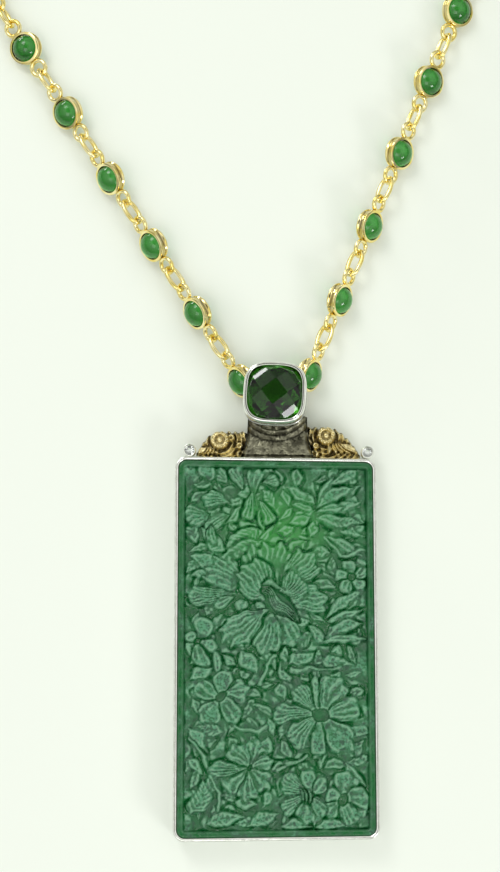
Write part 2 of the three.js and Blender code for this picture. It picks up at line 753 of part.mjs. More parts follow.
function placeClasp() {
  const rolled = runRoll * degree;
  const across = rolled - Math.PI / 2;
  const chainHeight = restingHeight(rolled);
  const ringHeight = (ringRadius - ringWire / 2) * Math.abs(Math.sin(across)) + ringWire / 2;
  const along = (distance, roll, height = chainHeight) =>
    strandFrame(1, lastStation + distance, roll, height);
  placeInFrame('clasp_link', oval(linkLength, linkSteps), gold, along(clasp.linkCentre, across));
  placeInFrame('clasp_hook', claspHook(), gold, along(clasp.hookStart + eyeRadius, rolled));
  placeInFrame('clasp_ring', wireLoop(ringRadius, ringWire, ringSteps), gold,
    along(clasp.ringCentre, across, Math.max(chainHeight, ringHeight)));
}

placePendant();
placeAccents();
placeStrand('left', -1);
placeStrand('right', 1);
placeClasp();

export default necklace;
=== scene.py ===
"""Looks of a quartz pendant necklace that lies on its back on a pale table.

Every size is in millimetres until a mesh is made, in the part's own frame: the origin is the middle of
the tray's back, +Y runs up the pendant to the chain and +Z out of the carved face.
"""

import logging
import math
from dataclasses import dataclass, field
from enum import Enum
from typing import Sequence

import bmesh
import bpy
import numpy as np
from mathutils import Euler, Matrix, Vector


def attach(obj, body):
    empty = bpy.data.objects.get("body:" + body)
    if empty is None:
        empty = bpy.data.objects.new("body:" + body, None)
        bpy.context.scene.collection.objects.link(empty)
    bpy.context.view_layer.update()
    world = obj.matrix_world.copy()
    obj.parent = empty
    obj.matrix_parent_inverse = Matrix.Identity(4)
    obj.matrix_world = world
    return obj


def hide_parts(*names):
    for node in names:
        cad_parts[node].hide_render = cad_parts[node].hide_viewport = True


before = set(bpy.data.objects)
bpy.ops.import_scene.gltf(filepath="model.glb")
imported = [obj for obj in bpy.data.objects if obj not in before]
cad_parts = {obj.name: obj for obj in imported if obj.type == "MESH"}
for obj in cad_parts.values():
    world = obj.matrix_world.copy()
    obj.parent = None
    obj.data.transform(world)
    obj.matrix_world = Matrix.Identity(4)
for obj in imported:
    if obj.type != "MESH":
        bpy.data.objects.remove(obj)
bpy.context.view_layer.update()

log = logging.getLogger("necklace")

MM = 0.001
BODY = "root"
SEED = 7

Profile = Sequence[tuple[float, float]]
Place = tuple[float, float]


class Side(Enum):
    """The two sides of the necklace, as seen from its front."""

    LEFT = -1
    RIGHT = 1

    @property
    def word(self) -> str:
        """The side's name as the nodes spell it."""
        return self.name.lower()


# Colour and nodes


def linear(hex_colour: str) -> tuple[float, float, float, float]:
    """Turns an sRGB hex colour into linear light.

    Args:
        hex_colour: Six hex digits, such as "e6c34a".

    Returns:
        Red, green, blue and an alpha of one.
    """
    shares = [int(hex_colour[i : i + 2], 16) / 255 for i in (0, 2, 4)]
    lit = [s / 12.92 if s <= 0.04045 else ((s + 0.055) / 1.055) ** 2.4 for s in shares]
    return lit[0], lit[1], lit[2], 1.0


def add_node(
    tree: bpy.types.NodeTree, kind: str, inputs: dict | None = None, **settings: object
) -> bpy.types.Node:
    """Adds a node with its settings and its inputs.

    Args:
        tree: The tree that gets the node.
        kind: The node's type.
        inputs: Each input's name or number, with a socket to link or a value to set.
        **settings: The node's own properties.

    Returns:
        The node.
    """
    made = tree.nodes.new(kind)
    for name, value in settings.items():
        setattr(made, name, value)
    for name, value in (inputs or {}).items():
        socket = made.inputs[name]
        if isinstance(value, bpy.types.NodeSocket):
            tree.links.new(value, socket)
        else:
            socket.default_value = value
    return made


def new_material(name: str) -> tuple[bpy.types.Material, bpy.types.NodeTree]:
    """Starts an empty node material.

    Args:
        name: The finish's name.

    Returns:
        The material and its tree.
    """
    material = bpy.data.materials.new(name)
    material.use_nodes = True
    material.node_tree.nodes.clear()
    return material, material.node_tree


def close_material(tree: bpy.types.NodeTree, shader: bpy.types.Node) -> None:
    """Links a shader to the material's output."""
    add_node(tree, "ShaderNodeOutputMaterial", {"Surface": shader.outputs[0]})


def object_noise(tree: bpy.types.NodeTree, size: float, detail: float = 3.0) -> bpy.types.NodeSocket:
    """Adds a noise whose spots have a real size.

    Args:
        tree: The material's tree.
        size: The spots' size in millimetres.
        detail: How much finer noise is laid over it.

    Returns:
        The noise's value socket.
    """
    where = add_node(tree, "ShaderNodeTexCoord")
    inputs = {"Vector": where.outputs["Object"], "Scale": 1 / (size * MM), "Detail": detail}
    return add_node(tree, "ShaderNodeTexNoise", inputs).outputs["Fac"]


def product(
    tree: bpy.types.NodeTree, one: bpy.types.NodeSocket, other: bpy.types.NodeSocket
) -> bpy.types.NodeSocket:
    """Multiplies two values."""
    return add_node(tree, "ShaderNodeMath", {0: one, 1: other}, operation="MULTIPLY").outputs[0]


def attribute(tree: bpy.types.NodeTree, name: str) -> bpy.types.NodeSocket:
    """Reads a value that the mesh carries at its points."""
    return add_node(tree, "ShaderNodeAttribute", attribute_name=name).outputs["Fac"]


def remap(
    tree: bpy.types.NodeTree,
    value: bpy.types.NodeSocket,
    low: float,
    high: float,
    to_low: float = 0.0,
    to_high: float = 1.0,
) -> bpy.types.NodeSocket:
    """Stretches a value from one range to another.

    Args:
        tree: The material's tree.
        value: The value's socket.
        low: The value that becomes to_low.
        high: The value that becomes to_high.
        to_low: The result at low.
        to_high: The result at high.

    Returns:
        The result's socket.
    """
    inputs = {"Value": value, "From Min": low, "From Max": high, "To Min": to_low, "To Max": to_high}
    return add_node(tree, "ShaderNodeMapRange", inputs).outputs["Result"]


def blend(
    tree: bpy.types.NodeTree,
    share: bpy.types.NodeSocket,
    one: str | bpy.types.NodeSocket,
    other: str | bpy.types.NodeSocket,
) -> bpy.types.NodeSocket:
    """Mixes two colours.

    Args:
        tree: The material's tree.
        share: How much of the second colour shows.
        one: The first colour, a hex string or a socket.
        other: The second colour, a hex string or a socket.

    Returns:
        The mixed colour's socket.
    """
    mix = add_node(tree, "ShaderNodeMix", {"Factor": share}, data_type="RGBA")
    for number, colour in ((6, one), (7, other)):
        if isinstance(colour, str):
            mix.inputs[number].default_value = linear(colour)
        else:
            tree.links.new(colour, mix.inputs[number])
    return mix.outputs[2]


def bump(tree: bpy.types.NodeTree, height: bpy.types.NodeSocket, depth: float) -> bpy.types.NodeSocket:
    """Turns a height from 0 to 1 into a bump of a real depth.

    Args:
        tree: The material's tree.
        height: The height's socket.
        depth: The bump's depth in millimetres.

    Returns:
        The normal's socket.
    """
    inputs = {"Height": height, "Distance": depth * MM, "Strength": 1.0}
    return add_node(tree, "ShaderNodeBump", inputs).outputs["Normal"]


# Finishes


@dataclass(frozen=True)
class CarvedQuartz:
    """Green quartz, carved and then lapped by hand."""

    # Lapping leaves the raised faces frosty and paler, while the grooves stay deep and glossy. The grooves
    # and hollows also get a painted shade, the thin edges a painted highlight and the upper middle a painted
    # glow.
    # The frosting's real grain is too fine to show, so it is drawn coarser.

    body: str = "186435"
    frost: str = "4d8e69"
    groove: str = "08602a"
    shade: str = "264a38"
    edge: str = "84b391"
    glow: str = "2a8a34"
    stain: str = "1d4230"
    grain: float = 0.5
    streak: float = 1.1
    cloud: float = 5.0
    pit: float = 0.09

    def material(self) -> bpy.types.Material:
        """Colours follow the carving's own height, hollows and edges, which the mesh carries: painted shade
        in the hollows, a painted highlight on the edges and a painted glow near the upper middle.

        Returns:
            The material.
        """
        material, tree = new_material("carved_quartz")
        grain = object_noise(tree, self.grain, 2)
        streak = object_noise(tree, self.streak, 5)
        cloud = object_noise(tree, self.cloud)
        frost = product(tree, attribute(tree, "frost"), remap(tree, grain, 0.4, 0.6, 0.0, 1.9))
        frost = product(tree, frost, remap(tree, streak, 0.35, 0.65, 0.5, 1.3))
        colour = blend(tree, remap(tree, cloud, 0.4, 0.62, 0, 0.75), self.body, self.shade)
        colour = blend(tree, frost, colour, self.frost)
        colour = blend(tree, remap(tree, streak, 0.54, 0.66, 0, 0.75), colour, self.stain)
        # A painted glow, as if light shone through the stone near its upper middle
        colour = blend(tree, attribute(tree, "glow"), colour, self.glow)
        # The grooves' own deep green, deepened by painted shade in the grooves and hollows
        colour = blend(tree, attribute(tree, "crease"), colour, self.groove)
        # A painted highlight on the sharp edges
        colour = blend(tree, remap(tree, attribute(tree, "edge"), 0, 1, 0, 0.6), colour, self.edge)
        rough = remap(tree, attribute(tree, "crease"), 0, 1, 0.5, 0.25)
        shader = add_node(
            tree,
            "ShaderNodeBsdfPrincipled",
            {
                "Base Color": colour,
                "Roughness": rough,
                "IOR": 1.54,
                "Subsurface Weight": 0.12,
                "Subsurface Radius": (0.4, 1.0, 0.5),
                "Subsurface Scale": 0.8 * MM,
                "Normal": bump(tree, grain, self.pit),
            },
        )
        close_material(tree, shader)
        return material


@dataclass(frozen=True)
class Metal:
    """A solid metal, cast or rolled and then polished by hand."""

    # Scuffs break the gloss into brighter and duller patches. Where the mesh is marked hollow the metal is
    # darker: dark polish and oxide in the real hollows of the neck and castings, painted shade inside the
    # chain's bands and along their channels, and a darker groove and inside on the bezel.

    name: str
    bright: str
    dull: str
    dirt: str
    gloss: float
    scuffed: float
    scuff: float = 1.5
    dent: float = 0.004

    def material(self) -> bpy.types.Material:
        """Makes the metal.

        Returns:
            The material.
        """
        material, tree = new_material(self.name)
        scuffs = object_noise(tree, self.scuff, 4)
        colour = blend(tree, remap(tree, scuffs, 0.4, 0.65), self.bright, self.dull)
        # Dark polish and oxide in real hollows, and painted shade inside the chain's bands
        colour = blend(tree, attribute(tree, "hollow"), colour, self.dirt)
        shader = add_node(
            tree,
            "ShaderNodeBsdfPrincipled",
            {
                "Base Color": colour,
                "Metallic": 1.0,
                "Roughness": remap(tree, scuffs, 0.35, 0.7, self.gloss, self.scuffed),
                "Normal": bump(tree, scuffs, self.dent),
            },
        )
        close_material(tree, shader)
        return material


@dataclass(frozen=True)
class ClearStone:
    """A transparent stone, cut and polished."""

    # Its colour is in the stone, so it deepens where the light goes further, and its facets mirror the room.

    name: str
    colour: str
    ior: float

    def material(self) -> bpy.types.Material:
        """Makes the stone.

        Returns:
            The material.
        """
        material, tree = new_material(self.name)
        shader = add_node(
            tree,
            "ShaderNodeBsdfPrincipled",
            {
                "Base Color": linear(self.colour),
                "Roughness": 0.0,
                "IOR": self.ior,
                "Transmission Weight": 1.0,
            },
        )
        close_material(tree, shader)
        return material


@dataclass(frozen=True)
class TableTop:
    """A sheet of matt card under the necklace, which takes soft shadows and no shine."""

    colour: str = "eff4ec"

    def material(self) -> bpy.types.Material:
        """Makes the sheet.

        Returns:
            The material.
        """
        material, tree = new_material("pale_sheet")
        inputs = {"Base Color": linear(self.colour), "Roughness": 0.9}
        close_material(tree, add_node(tree, "ShaderNodeBsdfPrincipled", inputs))
        return material


# Bright mirror silver, silver blackened by oxide, gilding worn over bronze, and rich polished gold
POLISHED_SILVER = Metal("polished_silver", "fafaf6", "e6e8e0", "55544a", 0.1, 0.24)
OXIDISED_SILVER = Metal("oxidised_silver", "8a8874", "5a584a", "34332a", 0.34, 0.5, 1.3, 0.03)
GILT_BRONZE = Metal("gilt_bronze", "eadcaa", "bfb080", "62563a", 0.24, 0.4, 0.7, 0.02)
YELLOW_GOLD = Metal("yellow_gold", "fff2ba", "f6de80", "6a4e1a", 0.1, 0.2, 2.0)


# Surfaces


@dataclass
class Surface:
    """Points in millimetres, the faces between them and the values that the points carry."""

    points: np.ndarray
    faces: list[tuple[int, ...]]
    values: dict[str, np.ndarray] = field(default_factory=dict)

    def moved(self, matrix: Matrix) -> "Surface":
        """Copies the surface to another place.

        Args:
            matrix: The place, in millimetres.

        Returns:
            The copy.
        """
        turn = np.array(matrix.to_3x3())
        points = self.points @ turn.T + np.array(matrix.translation)
        return Surface(points, self.faces, self.values)

    def __add__(self, other: "Surface") -> "Surface":
        """Puts two surfaces in one mesh, each as it is.

        Args:
            other: The second surface.

        Returns:
            Both.
        """
        start = len(self.points)
        faces = self.faces + [tuple(i + start for i in f) for f in other.faces]
        names = set(self.values) | set(other.values)
        both = (self, other)
        values = {n: np.concatenate([s.values.get(n, np.zeros(len(s.points))) for s in both]) for n in names}
        return Surface(np.concatenate([self.points, other.points]), faces, values)

    def piece(self, name: str, material: bpy.types.Material, crease: float | None = 40) -> bpy.types.Object:
        """Makes the mesh object, with its place in its mesh and its faces pointing out.

        Args:
            name: The piece's name.
            material: Its finish.
            crease: The angle in degrees from which an edge stays sharp, or None for flat facets.

        Returns:
            The object.
        """
        mesh = bpy.data.meshes.new(name)
        mesh.from_pydata((self.points * MM).tolist(), [], self.faces)
        for key, value in self.values.items():
            layer = mesh.attributes.new(key, "FLOAT", "POINT")
            layer.data.foreach_set("value", value.astype(np.float32))
        shell = bmesh.new()
        shell.from_mesh(mesh)
        bmesh.ops.recalc_face_normals(shell, faces=shell.faces)
        shell.to_mesh(mesh)
        shell.free()
        if crease is not None:
            mesh.shade_smooth()
            mesh.set_sharp_from_angle(angle=math.radians(crease))
        mesh.materials.append(material)
        made = bpy.data.objects.new(name, mesh)
        bpy.context.scene.collection.objects.link(made)
        return made


def grid_faces(rows: int, columns: int, round_rows: bool, round_columns: bool) -> list[tuple[int, ...]]:
    """Lists the four-sided faces of a grid of points.

    Args:
        rows: Its rows of points.
        columns: Its points in a row.
        round_rows: Whether the last row meets the first.
        round_columns: Whether each row closes on itself.

    Returns:
        The faces.
    """
    down = np.arange(rows if round_rows else rows - 1)
    along = np.arange(columns if round_columns else columns - 1)
    row, column = np.meshgrid(down, along, indexing="ij")
    next_row, next_column = (row + 1) % rows, (column + 1) % columns
    corners = [row * columns + column, row * columns + next_column]
    corners += [next_row * columns + next_column, next_row * columns + column]
    return [tuple(f) for f in np.stack(corners, -1).reshape(-1, 4).tolist()]


def turned(profile: Profile, steps: int, closed: bool = False) -> Surface:
    """Turns a profile about +Z, as a lathe does.

    Args:
        profile: Pairs of radius and height.
        steps: The faces round it.
        closed: Whether the profile is a ring of its own; otherwise its two ends are on the axis.

    Returns:
        The closed surface.
    """
    angles = np.arange(steps) * 2 * math.pi / steps
    rings = profile if closed else profile[1:-1]
    points = [[r * math.cos(a), r * math.sin(a), z] for r, z in rings for a in angles]
    faces = grid_faces(len(rings), steps, closed, True)
    if not closed:
        first, last = len(points), len(points) + 1
        points += [[0, 0, profile[0][1]], [0, 0, profile[-1][1]]]
        top = (len(rings) - 1) * steps
        for i in range(steps):
            faces.append((first, (i + 1) % steps, i))
            faces.append((last, top + i, top + (i + 1) % steps))
    return Surface(np.array(points, float), faces)


def wire(path: np.ndarray, radius: float, sides: int = 10, closed: bool = False) -> Surface:
    """Bends a round wire along a path.

    Args:
        path: The points of its middle line.
        radius: The wire's radius.
        sides: The faces round it.
        closed: Whether the wire is a closed ring.

    Returns:
        The closed surface, with round ends if it is open.
    """
    # An open wire ends in one more ring, a hair further on and narrower, which rounds it
    further, narrower = 1e-3, 0.72
    # A direction that no wire here runs along, from which the first ring is turned
    aslant = (0.31, 0.17, 0.93)
    path = np.asarray(path, float)
    if not closed:
        first, last = path[0] - (path[1] - path[0]) * further, path[-1] + (path[-1] - path[-2]) * further
        path = np.concatenate([[first], path, [last]])
    ahead = np.roll(path, -1, 0) - np.roll(path, 1, 0)
    if not closed:
        ahead[0], ahead[-1] = path[1] - path[0], path[-1] - path[-2]
    ahead /= np.linalg.norm(ahead, axis=1, keepdims=True)
    across = np.cross(ahead[0], aslant)
    angles = np.arange(sides) * 2 * math.pi / sides
    rings = []
    for place, way in zip(path, ahead):
        across = across - way * np.dot(across, way)
        across /= np.linalg.norm(across)
        up = np.cross(way, across)
        rings.append(place + radius * (np.outer(np.cos(angles), across) + np.outer(np.sin(angles), up)))
    if not closed:
        for ring, middle in ((0, path[0]), (-1, path[-1])):
            rings[ring] = middle + (rings[ring] - middle) * narrower
    points = np.concatenate(rings)
    faces = grid_faces(len(path), sides, closed, True)
    if not closed:
        faces.append(tuple(range(sides)))
        faces.append(tuple(range(len(points) - sides, len(points))))
    return Surface(points, faces)


def ring_path(half_length: float, half_width: float, steps: int, power: float = 2.0) -> np.ndarray:
    """Gives the middle line of a ring or an oval link.

    Args:
        half_length: Its half length along X.
        half_width: Its half width along Y.
        steps: Its points.
        power: 2 gives an ellipse, and more gives straighter sides.

    Returns:
        The points.
    """
    angles = (np.arange(steps) + 0.5) * 2 * math.pi / steps
    share = cushion_share(angles, power)
    x, y = half_length * share * np.cos(angles), half_width * share * np.sin(angles)
    return np.stack([x, y, 0 * angles], 1)


def cushion_share(angles: np.ndarray, power: float) -> np.ndarray:
    """Says how far a cushion's edge is out at each angle, as a share of half its width.

    Args:
        angles: The angles from +X, in radians.
        power: 2 gives a circle, and more gives squarer sides.

    Returns:
        The shares.
    """
    return (np.abs(np.cos(angles)) ** power + np.abs(np.sin(angles)) ** power) ** (-1 / power)


def plate(x: np.ndarray, y: np.ndarray, top: np.ndarray, bottom: float, values: dict) -> Surface:
    """Closes a grid of heights into a solid plate with straight sides and a flat underside.

    Args:
        x: The grid's places across.
        y: The grid's places along.
        top: The grid's heights.
        bottom: The underside's height.
        values: What the top's points carry, each a grid like top.

    Returns:
        The closed surface.
    """
    rows, columns = top.shape
    points = np.stack([x, y, top], -1).reshape(-1, 3)
    index = np.arange(rows * columns).reshape(rows, columns)
    rim = np.concatenate([index[0, :-1], index[:-1, -1], index[-1, :0:-1], index[:0:-1, 0]])
    foot = points[rim].copy()
    foot[:, 2] = bottom
    start, count = len(points), len(rim)
    faces = grid_faces(rows, columns, False, False)
    for i in range(count):
        j = (i + 1) % count
        faces.append((int(rim[i]), int(rim[j]), start + j, start + i))
    faces.append(tuple(range(start, start + count)))
    carried = {k: np.concatenate([v.reshape(-1), np.zeros(count)]) for k, v in values.items()}
    return Surface(np.concatenate([points, foot]), faces, carried)


def finish_piece(piece: bpy.types.Object, slot: str, *nodes: str) -> None:
    """Hangs a piece on the body, in place of its plain nodes.

    Args:
        piece: The finished piece.
        slot: The record's material slot; it is not used.
        *nodes: The nodes that it stands for.
    """
    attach(piece, BODY)
    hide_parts(*nodes)
    log.info("%s: %d faces", piece.name, len(piece.data.polygons))


# Carving


def smooth(share: np.ndarray) -> np.ndarray:
    """Eases a share from 0 to 1, held at both ends."""
    held = np.clip(share, 0, 1)
    return held * held * (3 - 2 * held)


def blurred(heights: np.ndarray, reach: int) -> np.ndarray:
    """Blurs a grid by a few passes of a running mean.

    Args:
        heights: The grid.
        reach: How many cells the mean takes in on each side.

    Returns:
        The blurred grid.
    """
    out = heights
    for _ in range(3):
        for axis in (0, 1):
            padded = np.pad(out, [(reach + 1, reach) if a == axis else (0, 0) for a in (0, 1)], mode="edge")
            total = np.cumsum(padded, axis)
            span = 2 * reach + 1
            high = np.take(total, range(span, total.shape[axis]), axis)
            low = np.take(total, range(0, total.shape[axis] - span), axis)
            out = (high - low) / span
    return out


@dataclass
class Carving:
    """A field of heights into which petals, leaves, stems and hollows are cut, each over the last.

    `worn` says at each point how deep and wide the grooves are, where 1 is as cut.
    """

    x: np.ndarray
    y: np.ndarray
    height: np.ndarray
    floor: float
    top: float
    pitch: float
    worn: np.ndarray
    # The groove round a form: its depth, its least width, how much wider wear makes it, and how far
    # under the floor it may go
    groove: float = 0.42
    groove_width: float = 0.16
    groove_spread: float = 0.22
    undercut: float = 0.12
    # A form's bevelled edge: its width, its fall as a share of the carving's depth, and its raised lip
    bevel: float = 0.62
    fall: float = 0.34
    lip: float = 0.04
    # A petal's domed face, its flutes and scallops, and how square its outline is
    crown: float = 0.16
    flute: float = 0.15
    scallop: float = 0.05
    square: float = 2.6
    # A leaf's domed face and edge, the width of its middle groove and the step of its side veins
    leaf_crown: float = 0.06
    leaf_lip: float = 0.06
    rib_width: float = 0.22
    vein_step: float = 0.95
    # How far off a point's near and wide surroundings reach
    narrow: float = 0.45
    broad: float = 1.3

    def away(self, inside: np.ndarray) -> np.ndarray:
        """Turns any outline function into a distance in millimetres.

        Args:
            inside: Values above zero inside the outline.

        Returns:
            The distance from the outline, above zero inside.
        """
        down, across = np.gradient(inside)
        gap_x = np.hypot(np.gradient(self.x, axis=1), np.gradient(self.y, axis=1))
        gap_y = np.hypot(np.gradient(self.x, axis=0), np.gradient(self.y, axis=0))
        slope = np.hypot(across / gap_x, down / gap_y)
        return np.clip(inside / np.maximum(slope, 1e-3), -6, 6)

    def lay(self, edge: np.ndarray, face: np.ndarray, groove: float = 1.0, lip: float = 0.0) -> None:
        """Lays one form over what is there, with a bevelled edge and a groove cut round it.

        Args:
            edge: The distance from its outline, above zero inside.
            face: The form's heights.
            groove: The groove's depth, as a share of the usual one.
            lip: How far its very edge stands up.
        """
        fall = (1 - smooth(edge / self.bevel)) * self.fall * (self.top - self.floor)
        rise = lip * np.exp(-(((edge - self.bevel * 0.9) / (self.bevel * 0.6)) ** 2))
        reach = self.groove_width + self.groove_spread * self.worn
        cut = self.groove * groove * self.worn * np.exp(-((np.minimum(edge, 0) / reach) ** 2))
        around = np.maximum(self.height - cut, self.floor - self.undercut)
        # The outline is softened over a cell or so, and nothing changes further out than the groove
        over = smooth(edge / (1.4 * self.pitch) + 0.5)
        near = edge > -1.5
        laid = around * (1 - over) + (face - fall + rise) * over
        self.height = np.where(near, laid, self.height)

    def petal(
        self,
        at: Place,
        heading: float,
        reach: float,
        spread: float,
        inner: float = 0.4,
        level: float = 0.74,
        tilt: float = 0.42,
        flutes: int = 5,
        lobes: int = 0,
        groove: float = 1.0,
    ) -> None:
        """Cuts a fan-shaped petal that spreads from a flower's middle.

        Args:
            at: The flower's middle.
            heading: The petal's direction, in degrees from +X.
            reach: How far its tip is from the middle.
            spread: Half its angle, in degrees.
            inner: Where it starts.
            level: Its height as a share of the carving's depth.
            tilt: How much higher its tip is, as such a share.
            flutes: The ridges across its face.
            lobes: The scallops of its edge.
            groove: The groove round it, as a share of the usual one.
        """
        dx, dy = self.x - at[0], self.y - at[1]
        radius = np.hypot(dx, dy)
        angle = np.angle(np.exp(1j * (np.arctan2(dy, dx) - math.radians(heading))))
        wide = math.radians(spread)
        side = angle / wide
        ripple = 1 + self.scallop * np.cos(lobes * math.pi * np.clip(side, -1, 1)) if lobes else 1.0
        out = np.clip(radius - inner, 0, None) / (reach * ripple - inner)
        edge = self.away(1 - out**2 - np.abs(side) ** self.square)
        along = np.clip((radius - inner) / (reach - inner), 0, 1)
        crown = self.crown * (1 - side**2) * np.sin(math.pi * along)
        # The flutes start a little way out and fade at the outline
        begun = smooth((along - 0.1) / 0.3) * smooth(edge / 0.5)
        ridges = self.flute * np.cos(flutes * math.pi * side) * begun
        depth = self.top - self.floor
        face = self.floor + depth * (level + tilt * (along - 0.6)) + crown + ridges
        self.lay(edge, face, groove, self.lip)

    def leaf(
        self,
        root: Place,
        tip: Place,
        width: float,
        bow: float = 0.0,
        level: float = 0.85,
        veins: float = 0.0,
        rib: float = 0.14,
        blunt: float = 1.0,
    ) -> None:
        """Cuts a pointed leaf between two places.

        Args:
            root: Where it starts.
            tip: Where it ends.
            width: Its widest.
            bow: How far its middle line bows to the left, in millimetres.
            level: Its height as a share of the carving's depth.
            veins: The side veins' height in millimetres.
            rib: The middle groove's depth in millimetres.
            blunt: Below 1 its ends are rounder.
        """
        line = np.array(tip) - np.array(root)
        length = float(np.hypot(*line))
        way = line / length
        dx, dy = self.x - root[0], self.y - root[1]
        along = dx * way[0] + dy * way[1]
        share = np.clip(along / length, 0, 1)
        over = -dx * way[1] + dy * way[0] - bow * 4 * share * (1 - share)
        # A leaf is widest a little nearer its root
        half = 0.5 * width * np.sin(math.pi * share**0.85) ** blunt
        past = np.maximum(-along, along - length)
        inside = np.where(past > 0, -np.hypot(past, over) - 0.02, half - np.abs(over))
        edge = self.away(inside)
        groove = rib * np.exp(-((over / self.rib_width) ** 2)) * np.sin(math.pi * share)
        side_veins = veins * np.cos((along - 0.8 * np.abs(over)) * 2 * math.pi / self.vein_step)
        face = self.floor + (self.top - self.floor) * level - groove
        face = face + side_veins * smooth(edge / 0.5) + self.leaf_crown * smooth(edge / (0.4 * width))
        self.lay(edge, face, lip=self.leaf_lip)

    def stem(self, path: Sequence[Place], width: float, level: float = 0.8) -> None:
        """Cuts a round stem along a path.

        Args:
            path: The places that it passes.
            width: Its width.
            level: Its height as a share of the carving's depth.
        """
        gap = np.full(self.x.shape, 1e3)
        for (ax, ay), (bx, by) in zip(path[:-1], path[1:]):
            span = (bx - ax) ** 2 + (by - ay) ** 2
            share = np.clip(((self.x - ax) * (bx - ax) + (self.y - ay) * (by - ay)) / span, 0, 1)
            gap = np.minimum(gap, np.hypot(self.x - ax - share * (bx - ax), self.y - ay - share * (by - ay)))
        face = self.floor + (self.top - self.floor) * level - 0.3 * (gap / width) ** 2
        self.lay(width / 2 - gap, face, groove=0.7)

    def hollow(self, at: Place, radius: float, depth: float = 1.0, rim: float = 0.12) -> None:
        """Drills a round hollow with a raised ring about it.

        Args:
            at: Its middle.
            radius: Its radius.
            depth: Its depth as a share of the carving's depth.
            rim: The ring's height in millimetres.
        """
        gap = np.hypot(self.x - at[0], self.y - at[1])
        bottom = self.top - depth * (self.top - self.floor)
        ring_off, ring_width, wall = 0.22, 0.2, 0.3
        ring = rim * np.exp(-(((gap - radius - ring_off) / ring_width) ** 2))
        inside = smooth((radius - gap) / wall + 0.5)
        self.height = (self.height + ring) * (1 - inside) + np.minimum(bottom, self.height) * inside

    def bead(self, at: Place, radius: float, rise: float) -> None:
        """Raises a round bead.

        Args:
            at: Its middle.
            radius: Its radius.
            rise: How far it stands out.
        """
        gap = np.minimum(np.hypot(self.x - at[0], self.y - at[1]) / radius, 1)
        self.height = self.height + rise * np.sqrt(1 - gap**2)

    def dressed(self) -> dict[str, np.ndarray]:
        """Works out what the finish follows: hollows, which get painted shade, raised faces, and sharp edges,
        which get a painted highlight.

        Returns:
            The grids "crease", "frost" and "edge", each from 0 to 1.
        """
        near = blurred(self.height, 1)
        wide = blurred(self.height, max(2, round(self.narrow / self.pitch)))
        broad = blurred(self.height, max(3, round(self.broad / self.pitch)))
        level = (self.height - self.floor) / (self.top - self.floor)
        # A groove is a dip below its near surroundings, and a hollow one below its wider ones; both are
        # darkened with painted shade over the grooves' own colour
        groove = 0.85 * self.worn * smooth((wide - self.height) / 0.26)
        hollow = 0.35 * smooth((broad - near) / 0.6)
        crease = np.clip(groove + hollow, 0, 1)
        # An edge stands sharply over what is next to it and gets a painted highlight, and frost lies on the
        # raised faces
        edge = smooth((self.height - near - 0.012) / 0.05) * smooth((self.height - wide) / 0.2)
        frost = smooth((level - 0.3) / 0.6) * (1 - crease)
        return {"crease": crease, "frost": frost, "edge": edge}


def hollows(height: np.ndarray, reach: int, depth: float) -> np.ndarray:
    """Says how deep each point lies below its surroundings.

    Args:
        height: A grid of heights.
        reach: How many cells the surroundings take in.
        depth: The depth in millimetres that counts as fully hollow.

    Returns:
        A grid from 0 to 1.
    """
    return smooth((blurred(height, reach) - height) / depth)


def lumps(shape: tuple[int, int], reach: int, seed: int) -> np.ndarray:
    """Makes soft random lumps, the same at each run.

    Args:
        shape: The grid's rows and columns.
        reach: Their size in cells.
        seed: Which lumps.

    Returns:
        A grid of heights with a spread of one.
    """
    rough = np.random.default_rng(SEED + seed).normal(size=shape)
    soft = blurred(rough, reach)
    return soft / soft.std()


# The pendant


